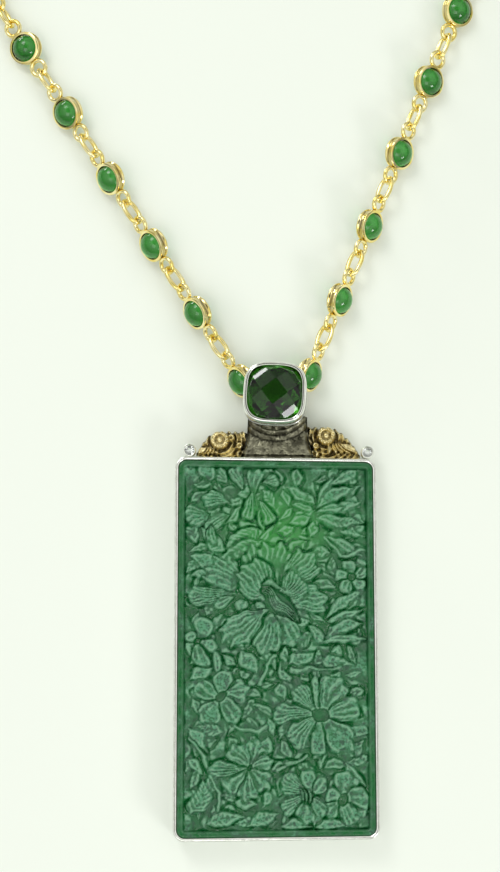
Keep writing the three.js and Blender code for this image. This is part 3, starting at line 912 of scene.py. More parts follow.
@dataclass
class Slab:
    """The carved quartz tablet, whose right side is a little shorter than its left."""

    width: float = 37.8
    height: float = 72.4
    shortfall: float = 1.0
    corner: float = 1.6
    low: float = 1.26
    top: float = 5.56
    depth: float = 1.15
    band: float = 1.1
    columns: int = 200
    rows: int = 384
    # The carved field's width and height, and the rows and columns of the small leaves that fill it
    field_size: tuple = (34, 68)
    filler_rows: int = 20
    filler_columns: int = 10
    # The ground's height over the floor, with the rise of its small and its larger lumps
    ground: tuple = (0.5, 0.17, 0.12)
    # How far the outlines waver, coarsely and finely
    waver: tuple = (0.26, 0.08)
    # The groove inside the border, its distance from it, and the rolled edge outside it
    line_depth: float = 0.18
    line_width: float = 0.17
    line_off: float = 0.26
    roll: float = 0.3
    # The rise of the carved field's roughness, fine and coarse
    rough: tuple = (0.045, 0.05)
    # A flower's petals overlap, so they are wider than their spacing, and lie lower than loose ones
    overlap: float = 1.22
    flower_level: float = 0.72
    flower_tilt: float = 0.36
    flower_groove: float = 0.55
    finish: CarvedQuartz = CarvedQuartz()

    # Forms in the order in which they lie over each other.
    # Leaves: root, tip, width, bow, veins
    leaves: tuple = (
        ((7.6, 26.6), (11.6, 33.6), 2.6, -0.5, 0.04),
        ((10.6, 31.0), (17.0, 34.2), 2.4, 0.3, 0.04),
        ((11.4, 29.0), (17.1, 31.4), 2.0, -0.2, 0.0),
        ((8.2, 26.2), (17.2, 28.6), 2.0, -0.4, 0.0),
        ((8.1, 24.9), (17.0, 20.6), 3.2, 0.6, 0.05),
        ((8.2, 24.9), (17.0, 24.4), 3.3, -0.4, 0.05),
        ((7.6, 26.6), (15.6, 30.7), 3.0, 0.5, 0.0),
        ((7.9, 25.9), (13.6, 27.0), 1.9, 0.2, 0.0),
        ((7.2, 27.4), (2.2, 31.0), 2.4, -0.3, 0.0),
        ((7.0, 26.4), (3.0, 27.4), 2.0, -0.4, 0.0),
        ((6.8, 25.4), (2.2, 23.4), 2.8, 0.3, 0.03),
        ((9.6, 21.0), (17.0, 17.0), 2.2, 0.5, 0.0),
        ((-3.0, 22.8), (-10.2, 18.6), 4.2, 0.5, 0.09),
        ((-1.8, 20.6), (-12.4, 14.8), 3.0, -0.6, 0.05),
        ((-9.6, 18.4), (-14.6, 23.2), 3.4, 0.4, 0.06),
        ((-10.4, 16.0), (-16.6, 17.6), 3.4, 0.2, 0.0),
        ((-11.4, 15.0), (-16.8, 13.2), 2.6, 0.1, 0.05),
        ((9.6, 5.4), (17.2, 11.0), 3.0, 0.4, 0.05),
        ((9.8, 4.6), (17.4, 7.0), 2.6, -0.3, 0.0),
        ((9.4, 1.6), (17.0, 4.6), 2.6, 0.4, 0.0),
        ((9.0, 1.2), (17.2, 1.4), 2.0, 0.1, 0.0),
        ((8.6, -2.6), (14.6, -3.4), 3.0, 0.2, 0.06),
        ((2.2, -3.4), (7.6, -0.6), 3.2, -0.3, 0.06),
        ((-6.6, -1.0), (-4.0, -5.2), 3.6, 0.3, 0.05),
        ((-2.0, -0.6), (-0.2, -4.4), 2.4, 0.2, 0.0),
        ((-12.4, -3.2), (-16.8, -6.4), 2.8, 0.2, 0.0),
        ((-16.4, -32.2), (-13.6, -25.4), 4.4, -0.6, 0.12),
        ((-13.2, -33.8), (-6.0, -32.0), 3.0, 0.3, 0.05),
        ((-5.6, -34.2), (0.4, -31.4), 3.0, 0.3, 0.06),
        ((0.6, -34.0), (6.6, -33.8), 2.4, 0.2, 0.0),
        ((7.2, -34.0), (13.2, -33.6), 2.8, 0.3, 0.05),
        ((12.8, -34.0), (17.0, -29.8), 2.6, 0.2, 0.0),
        ((-16.8, -15.6), (-12.6, -20.4), 2.6, 0.3, 0.0),
        ((-17.0, -21.0), (-13.6, -24.6), 2.4, 0.2, 0.0),
        ((13.0, -21.6), (17.0, -26.6), 2.4, -0.3, 0.0),
    )
    # Loose petals: middle, heading, reach, half angle, inner, flutes, lobes
    sprays: tuple = (
        ((-4.6, 29.0), 78, 5.4, 30, 1.6, 3, 3),
        ((-6.4, 30.4), 116, 4.8, 34, 1.0, 5, 0),
        ((-9.6, 31.4), 128, 4.2, 38, 0.8, 5, 0),
        ((-13.6, 31.8), 92, 3.4, 60, 0.6, 0, 0),
        ((-2.4, 31.2), 20, 3.6, 40, 1.2, 5, 0),
        ((-8.6, 27.8), 172, 5.4, 32, 0.8, 7, 3),
        ((-8.8, 25.4), 208, 5.6, 34, 0.8, 5, 0),
        ((-12.4, 26.0), 196, 5.2, 44, 0.6, 7, 0),
        ((-12.4, 24.0), 268, 4.2, 32, 0.6, 3, 0),
        ((-4.6, 30.6), 262, 6.2, 24, 0.6, 5, 0),
        ((-3.2, 28.4), 300, 5.2, 26, 0.6, 5, 0),
        ((-2.0, 9.0), 150, 12.6, 26, 6.0, 9, 5),
        ((-7.4, 10.0), 182, 9.4, 22, 1.6, 9, 0),
        ((-8.0, 9.4), 204, 4.4, 34, 0.6, 3, 0),
        ((-1.0, 8.4), 95, 11.5, 36, 7.4, 11, 5),
        ((-0.6, 8.2), 50, 12.0, 24, 6.0, 11, 3),
        ((0.4, 7.6), 12, 9.6, 26, 3.0, 9, 3),
        ((0.4, 6.6), 292, 7.2, 32, 2.0, 5, 3),
        ((0.0, 7.4), 256, 9.0, 30, 2.0, 7, 3),
        ((-0.4, 8.0), 216, 11.4, 27, 2.0, 7, 5),
        ((-0.4, 8.4), 128, 9.2, 44, 0.6, 11, 5),
        ((-0.2, 8.2), 36, 7.4, 46, 0.6, 13, 0),
    )
    # Flowers: middle, hollow, then each petal's heading, reach, half angle, flutes, lobes
    flowers: tuple = (
        ((14.6, 13.3), 0.75, ((96, 3.6, 34, 0, 0), (168, 3.3, 34, 0, 0), (240, 3.4, 34, 3, 0),
                              (312, 3.4, 34, 0, 0), (24, 3.3, 34, 3, 0))),
        ((-14.7, 1.0), 0.6, ((72, 4.6, 38, 0, 0), (150, 3.0, 36, 0, 0), (216, 3.0, 34, 0, 0),
                             (274, 4.6, 34, 3, 0), (350, 3.8, 34, 0, 0))),
        ((-10.5, -9.8), 0.95, ((20, 5.6, 33, 5, 3), (86, 5.6, 34, 0, 0), (154, 5.6, 32, 3, 0),
                               (232, 6.2, 34, 3, 3), (308, 5.6, 38, 3, 0))),
        ((8.0, -13.2), 1.5, ((128, 7.4, 25, 9, 0), (95, 7.6, 15, 0, 0), (58, 8.6, 27, 5, 3),
                             (12, 8.4, 24, 5, 0), (318, 8.8, 26, 3, 3), (272, 7.8, 19, 0, 0),
                             (224, 7.6, 27, 7, 0), (176, 8.4, 20, 7, 0))),
        ((-5.2, -23.1), 0.55, ((70, 5.8, 34, 5, 3), (12, 4.8, 34, 5, 3), (318, 5.6, 34, 3, 3),
                               (262, 6.2, 32, 5, 3), (216, 6.4, 30, 3, 0), (182, 7.6, 20, 7, 0),
                               (124, 5.4, 34, 5, 3))),
        ((12.6, -29.0), 0.9, ((78, 5.4, 38, 3, 3), (152, 3.8, 36, 0, 0), (215, 4.6, 34, 3, 0),
                              (292, 4.8, 36, 5, 0), (10, 4.8, 34, 3, 0))),
        ((6.3, -28.3), 0.7, ((146, 5.8, 34, 11, 0), (96, 5.2, 26, 0, 0), (48, 4.6, 28, 3, 0),
                             (206, 6.0, 30, 7, 0), (258, 5.2, 30, 3, 3), (310, 4.6, 30, 3, 0))),
    )
    # Stems: the places that each passes
    stems: tuple = (
        ((-9.4, -13.9), (-7.0, -15.9), (-3.4, -16.4), (-1.8, -15.2)),
        ((-0.6, -22.4), (2.0, -22.6), (5.9, -20.8)),
        ((0.8, -22.6), (-2.4, -25.4)),
        ((-16.4, -17.4), (-13.6, -21.0), (-11.8, -26.0), (-10.8, -31.4)),
        ((9.6, 20.6), (12.6, 17.6), (17.0, 18.4)),
        ((3.0, -4.2), (7.6, -4.6), (12.4, -3.6)),
        ((0.0, -1.8), (-2.2, -3.4), (-3.2, -7.6)),
    )

    def half_height(self, x: np.ndarray) -> np.ndarray:
        """Gives how far the slab reaches along Y at each place across it."""
        return self.height / 2 - self.shortfall / 2 * (x / self.width + 0.5)

    def grid(self) -> tuple[np.ndarray, np.ndarray, np.ndarray]:
        """Lays the grid of the top face inside the rounded outline.

        Returns:
            The places across, the places along and each point's distance from the outline.
        """
        u, v = np.meshgrid(np.linspace(-1, 1, self.columns), np.linspace(-1, 1, self.rows))
        straight = u * self.width / 2
        y = v * self.half_height(straight)
        into = np.clip(self.corner - (self.half_height(straight) - np.abs(y)), 0, self.corner)
        inset = self.corner - np.sqrt(self.corner**2 - into**2)
        x = u * (self.width / 2 - inset)
        gap_x = self.width / 2 - np.abs(x)
        gap_y = self.half_height(x) - np.abs(y)
        round_gap = self.corner - np.hypot(self.corner - gap_x, self.corner - gap_y)
        cornered = (gap_x < self.corner) & (gap_y < self.corner)
        return x, y, np.where(cornered, round_gap, np.minimum(gap_x, gap_y))

    def pistil(self, carving: Carving) -> None:
        """Cuts the peony's long hollow with its stamens.

        Args:
            carving: The slab's carving.
        """
        carving.leaf((-2.6, 11.8), (4.6, 3.8), 3.7, 0.3, level=0.12, rib=0, blunt=0.7)
        for offset in (-0.75, -0.2, 0.35, 0.9):
            start = (-2.0 + 0.55 * offset, 11.0 + 0.5 * offset)
            end = (3.4 + 0.3 * offset, 5.0 + 0.75 * offset)
            carving.leaf(start, end, 0.8, 0.1, level=0.72, rib=0)
        carving.leaf((-2.8, 11.9), (1.6, 11.2), 1.2, 0.5, level=0.9, rib=0)

    def fill(self, carving: Carving) -> None:
        """Covers the ground between the main forms with small low leaves.

        Args:
            carving: The slab's carving.
        """
        random = np.random.default_rng(SEED)
        for row in range(self.filler_rows):
            for column in range(self.filler_columns):
                spread = random.uniform(-0.9, 0.9, 2)
                x = ((column + 0.5) / self.filler_columns - 0.5) * self.field_size[0] + spread[0]
                y = ((row + 0.5) / self.filler_rows - 0.5) * self.field_size[1] + spread[1]
                turn = random.uniform(0, 2 * math.pi)
                length = random.uniform(3.4, 5.6)
                width = random.uniform(1.8, 3.0)
                bow = random.uniform(-0.5, 0.5)
                level = random.uniform(0.45, 0.85)
                veins = random.choice((0.0, 0.07))
                dx, dy = math.cos(turn) * length / 2, math.sin(turn) * length / 2
                carving.leaf((x - dx, y - dy), (x + dx, y + dy), width, bow, level, veins)

    def carve(self, x: np.ndarray, y: np.ndarray) -> Carving:
        """Carves the whole field of flowers.

        Args:
            x: The grid's places across.
            y: The grid's places along.

        Returns:
            The carving.
        """
        floor = self.top - self.depth
        height, small, larger = self.ground
        ground = floor + height + small * lumps(x.shape, 3, 1) + larger * lumps(x.shape, 7, 2)
        coarse, fine = self.waver
        wavy = [coarse * lumps(x.shape, 5, n) + fine * lumps(x.shape, 2, n + 2) for n in (30, 31)]
        # In places the grooves are worn shallow, and in others they are cut a little deeper than usual
        worn = 0.25 + smooth(0.5 + 0.45 * lumps(x.shape, 5, 34))
        pitch = self.width / self.columns
        carving = Carving(x + wavy[0], y + wavy[1], ground, floor, self.top, pitch, worn)
        self.fill(carving)
        for root, tip, width, bow, veins in self.leaves:
            carving.leaf(root, tip, width, bow, veins=veins)
        for path in self.stems:
            carving.stem(path, 1.0)
        for at, heading, reach, spread, inner, flutes, lobes in self.sprays:
            carving.petal(at, heading, reach, spread, inner, flutes=flutes, lobes=lobes)
        self.pistil(carving)
        for at, hole, petals in self.flowers:
            for heading, reach, spread, flutes, lobes in petals:
                carving.petal(
                    at,
                    heading,
                    reach,
                    self.overlap * spread,
                    0.6 * hole,
                    self.flower_level,
                    self.flower_tilt,
                    flutes,
                    lobes,
                    self.flower_groove,
                )
            carving.hollow(at, hole)
        # Three stamens lie over the lower flower
        for offset in (-0.5, 0.1, 0.7):
            carving.leaf((5.0 + offset, -26.9), (5.8 + offset, -30.0), 0.55, 0.1, level=0.9, rib=0)
        return carving

    def piece(self) -> bpy.types.Object:
        """Makes the slab, its plain border with the groove inside it and its carved field.

        Returns:
            The finished object.
        """
        x, y, gap = self.grid()
        carving = self.carve(x, y)
        fine, coarse = self.rough
        grain = fine * lumps(x.shape, 1, 3) + coarse * lumps(x.shape, 3, 5)
        groove = self.line_depth * np.exp(-(((gap - self.band - self.line_off) / self.line_width) ** 2))
        field_share = smooth((gap - self.band) / 0.3 + 0.3)
        height = self.top * (1 - field_share) + (carving.height - groove) * field_share
        over = 1 - np.clip(gap / self.roll, 0, 1)
        rolled = self.roll * (1 - np.sqrt(np.clip(1 - over**2, 0, 1)))
        carving.height = np.clip(height - rolled + grain * field_share, self.low + 1, self.top + 0.17)
        surface = plate(x, y, carving.height, self.low, self.worn_look(carving, x, y, gap))
        return surface.piece("carved_slab", self.finish.material(), 60)

    def worn_look(
        self, carving: Carving, x: np.ndarray, y: np.ndarray, gap: np.ndarray
    ) -> dict[str, np.ndarray]:
        """Says where the finish is frosty, darkened by painted shade in hollows, paler by a painted highlight
        at an edge or brightened by a painted glow, as of light from behind.

        Args:
            carving: The slab's carving, with its border.
            x: The grid's places across.
            y: The grid's places along.
            gap: Each point's distance from the outline.

        Returns:
            The grids "crease", "frost", "edge" and "glow".
        """
        values = carving.dressed()
        speckle = lumps(x.shape, 2, 6)
        border = 1 - smooth((gap - self.band) / 0.2)
        # The border is polished, with only flecks of frost
        polish, flecks = 0.55 + 0.35 * speckle, np.clip(0.06 - 0.14 * speckle, 0, 0.5)
        values["crease"] = np.clip(values["crease"] * (1 - border) + polish * border, 0, 1)
        values["frost"] = np.clip(values["frost"] * (0.85 + 0.2 * speckle) * (1 - border), 0, 1)
        values["frost"] += flecks * border
        # Painted highlights run as pale lines along both edges of the border
        line = 0.55 * np.exp(-(((gap - self.band + 0.04) / 0.1) ** 2)) + 0.6 * np.exp(-((gap / 0.14) ** 2))
        values["edge"] = np.clip(values["edge"] * (1 - border) + line, 0, 1)
        # A painted glow brightens the stone near its upper middle, as if light shone through it there
        values["glow"] = np.exp(-(((x - 0.6) / 10) ** 2) - ((y - 22.7) / 7.5) ** 2)
        return values


@dataclass
class Tray:
    """The silver tray under and round the slab, with its rolled rim."""

    slab: Slab
    clearance: float = 0.06
    wall: float = 0.6
    floor: float = 1.2
    height: float = 5.91
    corner_steps: int = 10
    finish: Metal = POLISHED_SILVER

    def edge_at(self, x: float | np.ndarray) -> float | np.ndarray:
        """Finds the tray's top edge, which drops a little to the right.

        Args:
            x: A place across it, or a grid of them.

        Returns:
            How far up the edge is there.
        """
        width = self.slab.width + 2 * (self.clearance + self.wall)
        half = self.slab.height / 2 + self.clearance + self.wall
        return half - self.slab.shortfall / 2 * (x / width + 0.5)

    def outline(self, grow: float) -> np.ndarray:
        """Follows the slab's outline at a distance.

        Args:
            grow: The distance outwards.

        Returns:
            The outline's points.
        """
        slab = self.slab
        radius = slab.corner + grow
        points = []
        for number, (sx, sy) in enumerate(((1, 1), (-1, 1), (-1, -1), (1, -1))):
            side = sx * slab.width / 2
            middle = (side - sx * slab.corner, sy * (float(slab.half_height(np.array(side))) - slab.corner))
            for step in range(self.corner_steps + 1):
                angle = math.pi / 2 * (number + step / self.corner_steps)
                points.append((middle[0] + radius * math.cos(angle), middle[1] + radius * math.sin(angle)))
        return np.array(points)

    def piece(self) -> bpy.types.Object:
        """Makes the tray.

        Returns:
            The finished object.
        """
        inner, outer, top = self.clearance, self.clearance + self.wall, self.height
        profile = ((outer - 0.2, 0), (outer - 0.05, 0.05), (outer, 0.2), (outer, top - 0.5),
                   (outer - 0.05, top - 0.42), (outer - 0.02, top - 0.25), (outer - 0.1, top - 0.08),
                   (outer - 0.25, top), (inner + 0.12, top - 0.02), (inner - 0.02, top - 0.12),
                   (inner, top - 0.4), (inner, self.floor))
        rings = [self.outline(grow) for grow, _ in profile]
        count = len(rings[0])
        levels = [np.full(count, z) for _, z in profile]
        points = np.concatenate([np.column_stack([r, z]) for r, z in zip(rings, levels)])
        faces = grid_faces(len(profile), count, False, True)
        faces.append(tuple(range(count)))
        faces.append(tuple(range(len(points) - count, len(points))))
        return Surface(points, faces).piece("silver_tray", self.finish.material(), 45)


@dataclass
class Head:
    """The cushion bezel and its gem, in the frame in which they stand on the neck."""

    origin: tuple[float, float, float] = (0.0, 48.46, 6.908)
    turn: float = -3.0
    lean: float = 3.0
    # How square the cushion is, where 2 is round
    power: float = 3.3
    outer: float = 6.15
    inner: float = 5.47
    back: float = 4.7
    back_rim: float = 0.9
    seat: float = 1.5
    height: float = 4.6
    gem_half: float = 5.35
    girdle_at: float = 4.1
    girdle: float = 0.12
    crown: float = 1.9
    pavilion: float = 3.4
    # The crown's checkerboard: its turn and the slopes of its rows, in degrees
    checker_turn: float = 40.0
    checker_tilts: tuple = (0.0, 24.8, 35.0)
    # The pavilion's rows: facets, depth below the girdle, degrees steeper than the first
    pavilion_rows: tuple = ((8, 0.0, 0), (16, 0.1, 16))
    steps: int = 96
    metal: Metal = POLISHED_SILVER
    stone: ClearStone = ClearStone("green_crystal", "20540e", 1.54)

    def frame(self) -> Matrix:
        """Gives the head's place, the CAD group's turn about Y and then Z."""
        tilt = Matrix.Rotation(math.radians(-self.lean), 4, "Y")
        return Matrix.Translation(self.origin) @ tilt @ Matrix.Rotation(math.radians(self.turn), 4, "Z")

    def bezel(self) -> bpy.types.Object:
        """Makes the bezel: open back, seat, outer band, a thin groove and the lip over the gem.

        Returns:
            The finished object.
        """
        out, top = self.outer, self.height
        hole = self.back - self.back_rim
        profile = ((hole, 0), (self.back - 0.1, 0), (self.back, 0.1), (out - 0.12, self.seat - 0.1),
                   (out, self.seat + 0.15), (out - 0.02, self.seat + 0.4), (out - 0.12, self.seat + 0.5),
                   (out - 0.1, top - 1.5), (out - 0.03, top - 1.3), (out - 0.02, top - 0.95),
                   (out - 0.09, top - 0.6), (out - 0.22, top - 0.3), (out - 0.37, top - 0.14),
                   (out - 0.5, top - 0.1), (out - 0.54, top - 0.32), (out - 0.6, top - 0.32),
                   (out - 0.63, top - 0.06), (out - 0.7, top), (out - 0.8, top - 0.06),
                   (out - 0.86, top - 0.2), (self.inner - 0.05, top - 0.34), (self.inner, top - 0.6),
                   (self.inner, self.seat + 0.7), (hole, 0.7))
        # The profile's points in the groove, and the first of those under the lip, where the metal is darker
        groove, under_lip = (14, 15), 20
        angles = np.arange(self.steps) * 2 * math.pi / self.steps
        share = cushion_share(angles, self.power)
        rings = [np.stack([r * share * np.cos(angles), r * share * np.sin(angles), 0 * angles + z], 1)
                 for r, z in profile]
        darkened = [number in groove or number >= under_lip for number in range(len(profile))]
        faces = grid_faces(len(profile), self.steps, True, True)
        hollow = np.repeat(np.array(darkened, float), self.steps)
        band = Surface(np.concatenate(rings), faces, {"hollow": hollow})
        return band.moved(self.frame()).piece("cushion_bezel", self.metal.material(), 35)

    def planes(self) -> list[tuple[Vector, Vector]]:
        """Lists the planes that the gem is ground to, each as a point and a direction outwards.

        Returns:
            The crown's checkerboard and the pavilion's two rows.
        """
        radius = (self.gem_half**2 + self.crown**2) / (2 * self.crown)
        centre = Vector((0, 0, self.crown - radius + self.girdle))
        turn = Matrix.Rotation(math.radians(self.checker_turn), 3, "Z")
        tilts = sorted({sign * t for t in self.checker_tilts for sign in (-1, 1)})
        found = []
        for a in tilts:
            for b in tilts:
                way = (turn @ Vector((math.tan(math.radians(a)), math.tan(math.radians(b)), 1))).normalized()
                found.append((centre + way * radius, way))
        for row, (count, low, steeper) in enumerate(self.pavilion_rows):
            for number in range(count):
                angle = 2 * math.pi * (number + 0.5 * row) / count + math.radians(self.checker_turn)
                reach = self.gem_half * float(cushion_share(np.array([angle]), self.power)[0])
                slope = math.atan((self.pavilion - 0.5) / reach) + math.radians(steeper)
                cosine, sine = math.cos(angle), math.sin(angle)
                way = Vector((cosine * math.sin(slope), sine * math.sin(slope), -math.cos(slope)))
                through = Vector((cosine * reach, sine * reach, -low))
                found.append((through if row else Vector((0, 0, -self.pavilion)), way))
        return found

    def gem(self) -> bpy.types.Object:
        """Grinds the gem out of a cushion block.

        Returns:
            The finished object.
        """
        angles = np.arange(self.steps) * 2 * math.pi / self.steps
        share = self.gem_half * cushion_share(angles, self.power)
        edge = [(s * math.cos(a), s * math.sin(a)) for s, a in zip(share, angles)]
        block = bmesh.new()
        rings = []
        for z in (-self.pavilion, self.crown + self.girdle):
            rings.append([block.verts.new((x, y, z)) for x, y in edge])
        for number in range(self.steps):
            after = (number + 1) % self.steps
            block.faces.new((rings[0][number], rings[0][after], rings[1][after], rings[1][number]))
        block.faces.new(rings[0])
        block.faces.new(rings[1])
        # Each plane cuts off what is outside it, and the cut is closed with a facet
        for point, way in self.planes():
            parts = [*block.verts, *block.edges, *block.faces]
            cut = bmesh.ops.bisect_plane(block, geom=parts, plane_co=point, plane_no=way, clear_outer=True)
            rim = [e for e in cut["geom_cut"] if isinstance(e, bmesh.types.BMEdge)]
            if rim:
                bmesh.ops.contextual_create(block, geom=rim)
        bmesh.ops.remove_doubles(block, verts=block.verts, dist=1e-3)
        block.verts.ensure_lookup_table()
        points = np.array([tuple(v.co) for v in block.verts])
        block.verts.index_update()
        faces = [tuple(v.index for v in f.verts) for f in block.faces]
        block.free()
        points[:, 2] += self.girdle_at - self.girdle / 2
        return Surface(points, faces).moved(self.frame()).piece("cushion_gem", self.stone.material(), None)


@dataclass
class Neck:
    """The oxidised neck, whose mouldings follow the bezel's edge, on the tray's top edge."""

    tray: Tray
    head: Head
    foot_half: float = 7.3
    top_half: float = 5.8
    offset: float = 0.4
    low: float = 0.7
    foot_top: float = 4.9
    top: float = 6.5
    far: float = 44.66
    # The mouldings: how far from the bezel they start, their width and number, and their rolled rise
    saddle: float = 2.3
    step: float = 0.95
    steps: int = 2
    step_roll: float = 0.3
    # How far the sides fall, and the depth of the groove over the foot
    side_fall: float = 0.5
    foot_groove: float = 0.3
    seam: float = 0.06
    columns: int = 150
    rows: int = 100
    finish: Metal = OXIDISED_SILVER

    def flank(self, share: np.ndarray) -> tuple[np.ndarray, np.ndarray]:
        """Follows a flank from the foot to the top.

        Args:
            share: How far up, from 0 to 1.

        Returns:
            Half the width there, and how far up the neck's length that is, from 0 to 1.
        """
        waist = (self.head.origin[1] - self.head.outer - self.tray.edge_at(0)) / 2
        length = self.far - self.tray.edge_at(0)
        half = self.top_half + (self.foot_half - self.top_half) * (1 - share) ** 2
        return half, 2 * share * (1 - share) * waist / length + share**2

    def half_at(self, y: np.ndarray) -> np.ndarray:
        """Finds half the neck's width.

        Args:
            y: The places along Y.

        Returns:
            Half the width at each.
        """
        half, up = self.flank(np.linspace(0, 1, 60))
        start = self.tray.edge_at(0)
        return np.interp(y, start + up * (self.far - start), half)

    def piece(self) -> bpy.types.Object:
        """Makes the neck.

        Returns:
            The finished object.
        """
        u, t = np.meshgrid(np.linspace(-1, 1, self.columns), np.linspace(0, 1, self.rows))
        half, up = self.flank(t)
        x = self.offset + u * half
        start = self.tray.edge_at(x) + self.seam
        y = start + up * (self.far - start)
        from_gem = np.hypot(x - self.head.origin[0], y - self.head.origin[1])
        into = self.head.outer + self.saddle - from_gem
        climb = np.clip(into / self.step, 0, self.steps)
        part = climb - np.floor(climb)
        level = self.foot_top + (self.top - 0.25 - self.foot_top) * smooth(climb / (self.steps + 0.4))
        on_step = (climb > 0) & (climb < self.steps)
        roll = self.step_roll * np.where(on_step, np.sqrt(np.sin(math.pi * part)), 0)
        # The surface is worn and pitted, and blackened in its dips and in a few larger patches
        worn = 0.05 * lumps(x.shape, 3, 11) + 0.03 * lumps(x.shape, 1, 12)
        side_fall = self.side_fall * (1 - smooth((1 - np.abs(u)) * half / 0.8))
        foot_groove = self.foot_groove * np.exp(-(((y - start - 0.5) / 0.22) ** 2))
        height = np.minimum(level + roll + worn - side_fall - foot_groove, self.top)
        hollow = np.clip(hollows(height, 4, 0.12) + 0.5 * smooth(lumps(x.shape, 6, 13) - 0.6), 0, 1)
        surface = plate(x, y, height, self.low, {"hollow": hollow})
        return surface.piece("oxidised_neck", self.finish.material(), 60)


@dataclass
class Casting:
    """A gilt casting beside the neck: a beaded rosette over a fluted leaf that slopes down outwards."""

    side: Side
    neck: Neck
    shoulder: float
    rosette: float
    rosette_up: float
    outer: float
    # Its underside, the ground between its forms and its highest point
    low: float = 1.0
    face: float = 4.4
    high: float = 5.7
    tip: float = 0.9
    # The outline's ripple and the ground's waves: rise and step
    ripple: tuple = (0.035, 1.3)
    wave: tuple = (0.26, 0.85)
    rosette_radius: float = 1.9
    # The ring of beads round the rosette's hollow, and the bead in its middle
    beads: int = 14
    bead_ring: float = 1.5
    bead: tuple = (0.31, 0.3)
    eye: float = 0.95
    middle_bead: tuple = (0.6, 0.5)
    # The leaves that fan out under the rosette
    leaves: int = 5
    leaf_width: float = 1.35
    # The scrolls beside the neck: distance from it and radius, from the tray up
    scrolls: tuple = ((1.4, 0.95), (1.65, 0.75), (3.3, 0.8))
    columns: int = 170
    rows: int = 110
    finish: Metal = GILT_BRONZE

    def reach(self, across: np.ndarray) -> np.ndarray:
        """Follows the casting's rippled outline, which slopes down from its shoulder to its tip.

        Args:
            across: The places outwards.

        Returns:
            The outline's height above the tray's edge at each.
        """
        bend = np.clip((across - self.rosette) / (self.outer - self.rosette), 0, 1)
        fall = (1 - bend) ** 2 * self.shoulder + 2 * bend * (1 - bend) * self.shoulder + bend**2 * self.tip
        rise, step = self.ripple
        return fall * (1 + rise * np.cos(across * 2 * math.pi / step))

    def grid(self) -> tuple[np.ndarray, np.ndarray, np.ndarray, np.ndarray]:
        """Lays the casting's grid between the neck's flank, the tray and its own outline.

        Returns:
            The places across and along, the distance outwards and the height above the tray.
        """
        sign = self.side.value
        u, v = np.meshgrid(np.linspace(0, 1, self.columns), np.linspace(0, 1, self.rows))
        start = self.neck.tray.edge_at(0)
        up = v * self.shoulder
        # The neck's flank and the outline depend on each other, so both are found in a few rounds
        for _ in range(4):
            inside = self.neck.half_at(start + up) + sign * self.neck.offset + self.neck.seam
            across = inside + u * (self.outer - inside)
            up = v * (self.reach(across) - self.neck.seam)
        x = sign * across
        y = self.neck.tray.edge_at(x) + self.neck.seam + up
        return x, y, across, up

    def piece(self) -> bpy.types.Object:
        """Makes the casting.

        Returns:
            The finished object.
        """
        x, y, across, up = self.grid()
        sign = self.side.value
        form = self.carve(x, y)
        edge = np.minimum(np.minimum(across - across.min(1, keepdims=True), self.outer - across),
                          self.reach(across) - up)
        rolled = 0.7 * (1 - smooth(edge / 0.6))
        worn = 0.04 * lumps(x.shape, 2, 20 + sign)
        height = np.clip(form.height + worn - rolled, self.low + 0.5, self.high)
        deep = smooth((self.face - 0.5 - height) / 0.3)
        hollow = np.clip(0.8 * hollows(height, 5, 0.45) + 0.5 * deep, 0, 1)
        surface = plate(x, y, height, self.low, {"hollow": hollow})
        return surface.piece(f"gilt_casting_{self.side.word}", self.finish.material(), 60)

    def carve(self, x: np.ndarray, y: np.ndarray) -> Carving:
        """Cuts the ground's waves, the leaves, the scrolls and then the rosette.

        Args:
            x: The grid's places across.
            y: The grid's places along.

        Returns:
            The carving.
        """
        sign = self.side.value
        start = self.neck.tray.edge_at(0)
        pitch = (self.outer - self.neck.top_half) / self.columns
        middle = (sign * self.rosette, self.neck.tray.edge_at(sign * self.rosette) + self.rosette_up)
        ground = np.full(x.shape, self.face - 0.35)
        worn = np.ones(x.shape)
        form = Carving(x, y, ground, self.face - 0.7, self.high - 0.35, pitch, worn, groove=0.36, bevel=0.3)
        gap = np.hypot(x - middle[0], y - middle[1])
        rise, step = self.wave
        waves = rise * np.cos(gap * 2 * math.pi / step) * smooth((gap - self.rosette_radius) / 0.3)
        form.height = form.height + waves
        for number in range(self.leaves):
            share = number / (self.leaves - 1)
            tip_across = self.rosette + 0.4 + (self.outer - self.rosette - 0.6) * share
            tip = (sign * tip_across, start + 0.4 + 0.3 * share)
            root_across = self.rosette + 0.6 + 1.9 * share
            root = (sign * root_across, middle[1] - 0.6 - 0.9 * share)
            form.leaf(root, tip, self.leaf_width, 0.25 * sign, level=0.75 - 0.25 * share, rib=0.1)
        for number, (out, radius) in enumerate(self.scrolls):
            spot_across = self.neck.top_half + sign * self.neck.offset + out
            spot = (sign * spot_across, start + 0.95 + 1.55 * number)
            form.lay(radius - np.hypot(x - spot[0], y - spot[1]), np.full(x.shape, self.high - 0.6))
            form.hollow(spot, radius * 0.3, 0.4, 0.05)
        dome = self.high - 0.55 + 0.3 * np.clip(1 - (gap / self.rosette_radius) ** 2, 0, 1)
        form.lay(self.rosette_radius - gap, dome)
        for number in range(self.beads):
            angle = 2 * math.pi * number / self.beads
            at = (middle[0] + self.bead_ring * math.cos(angle), middle[1] + self.bead_ring * math.sin(angle))
            form.bead(at, *self.bead)
        form.hollow(middle, self.eye, 0.35, 0.1)
        form.bead(middle, *self.middle_bead)
        return form


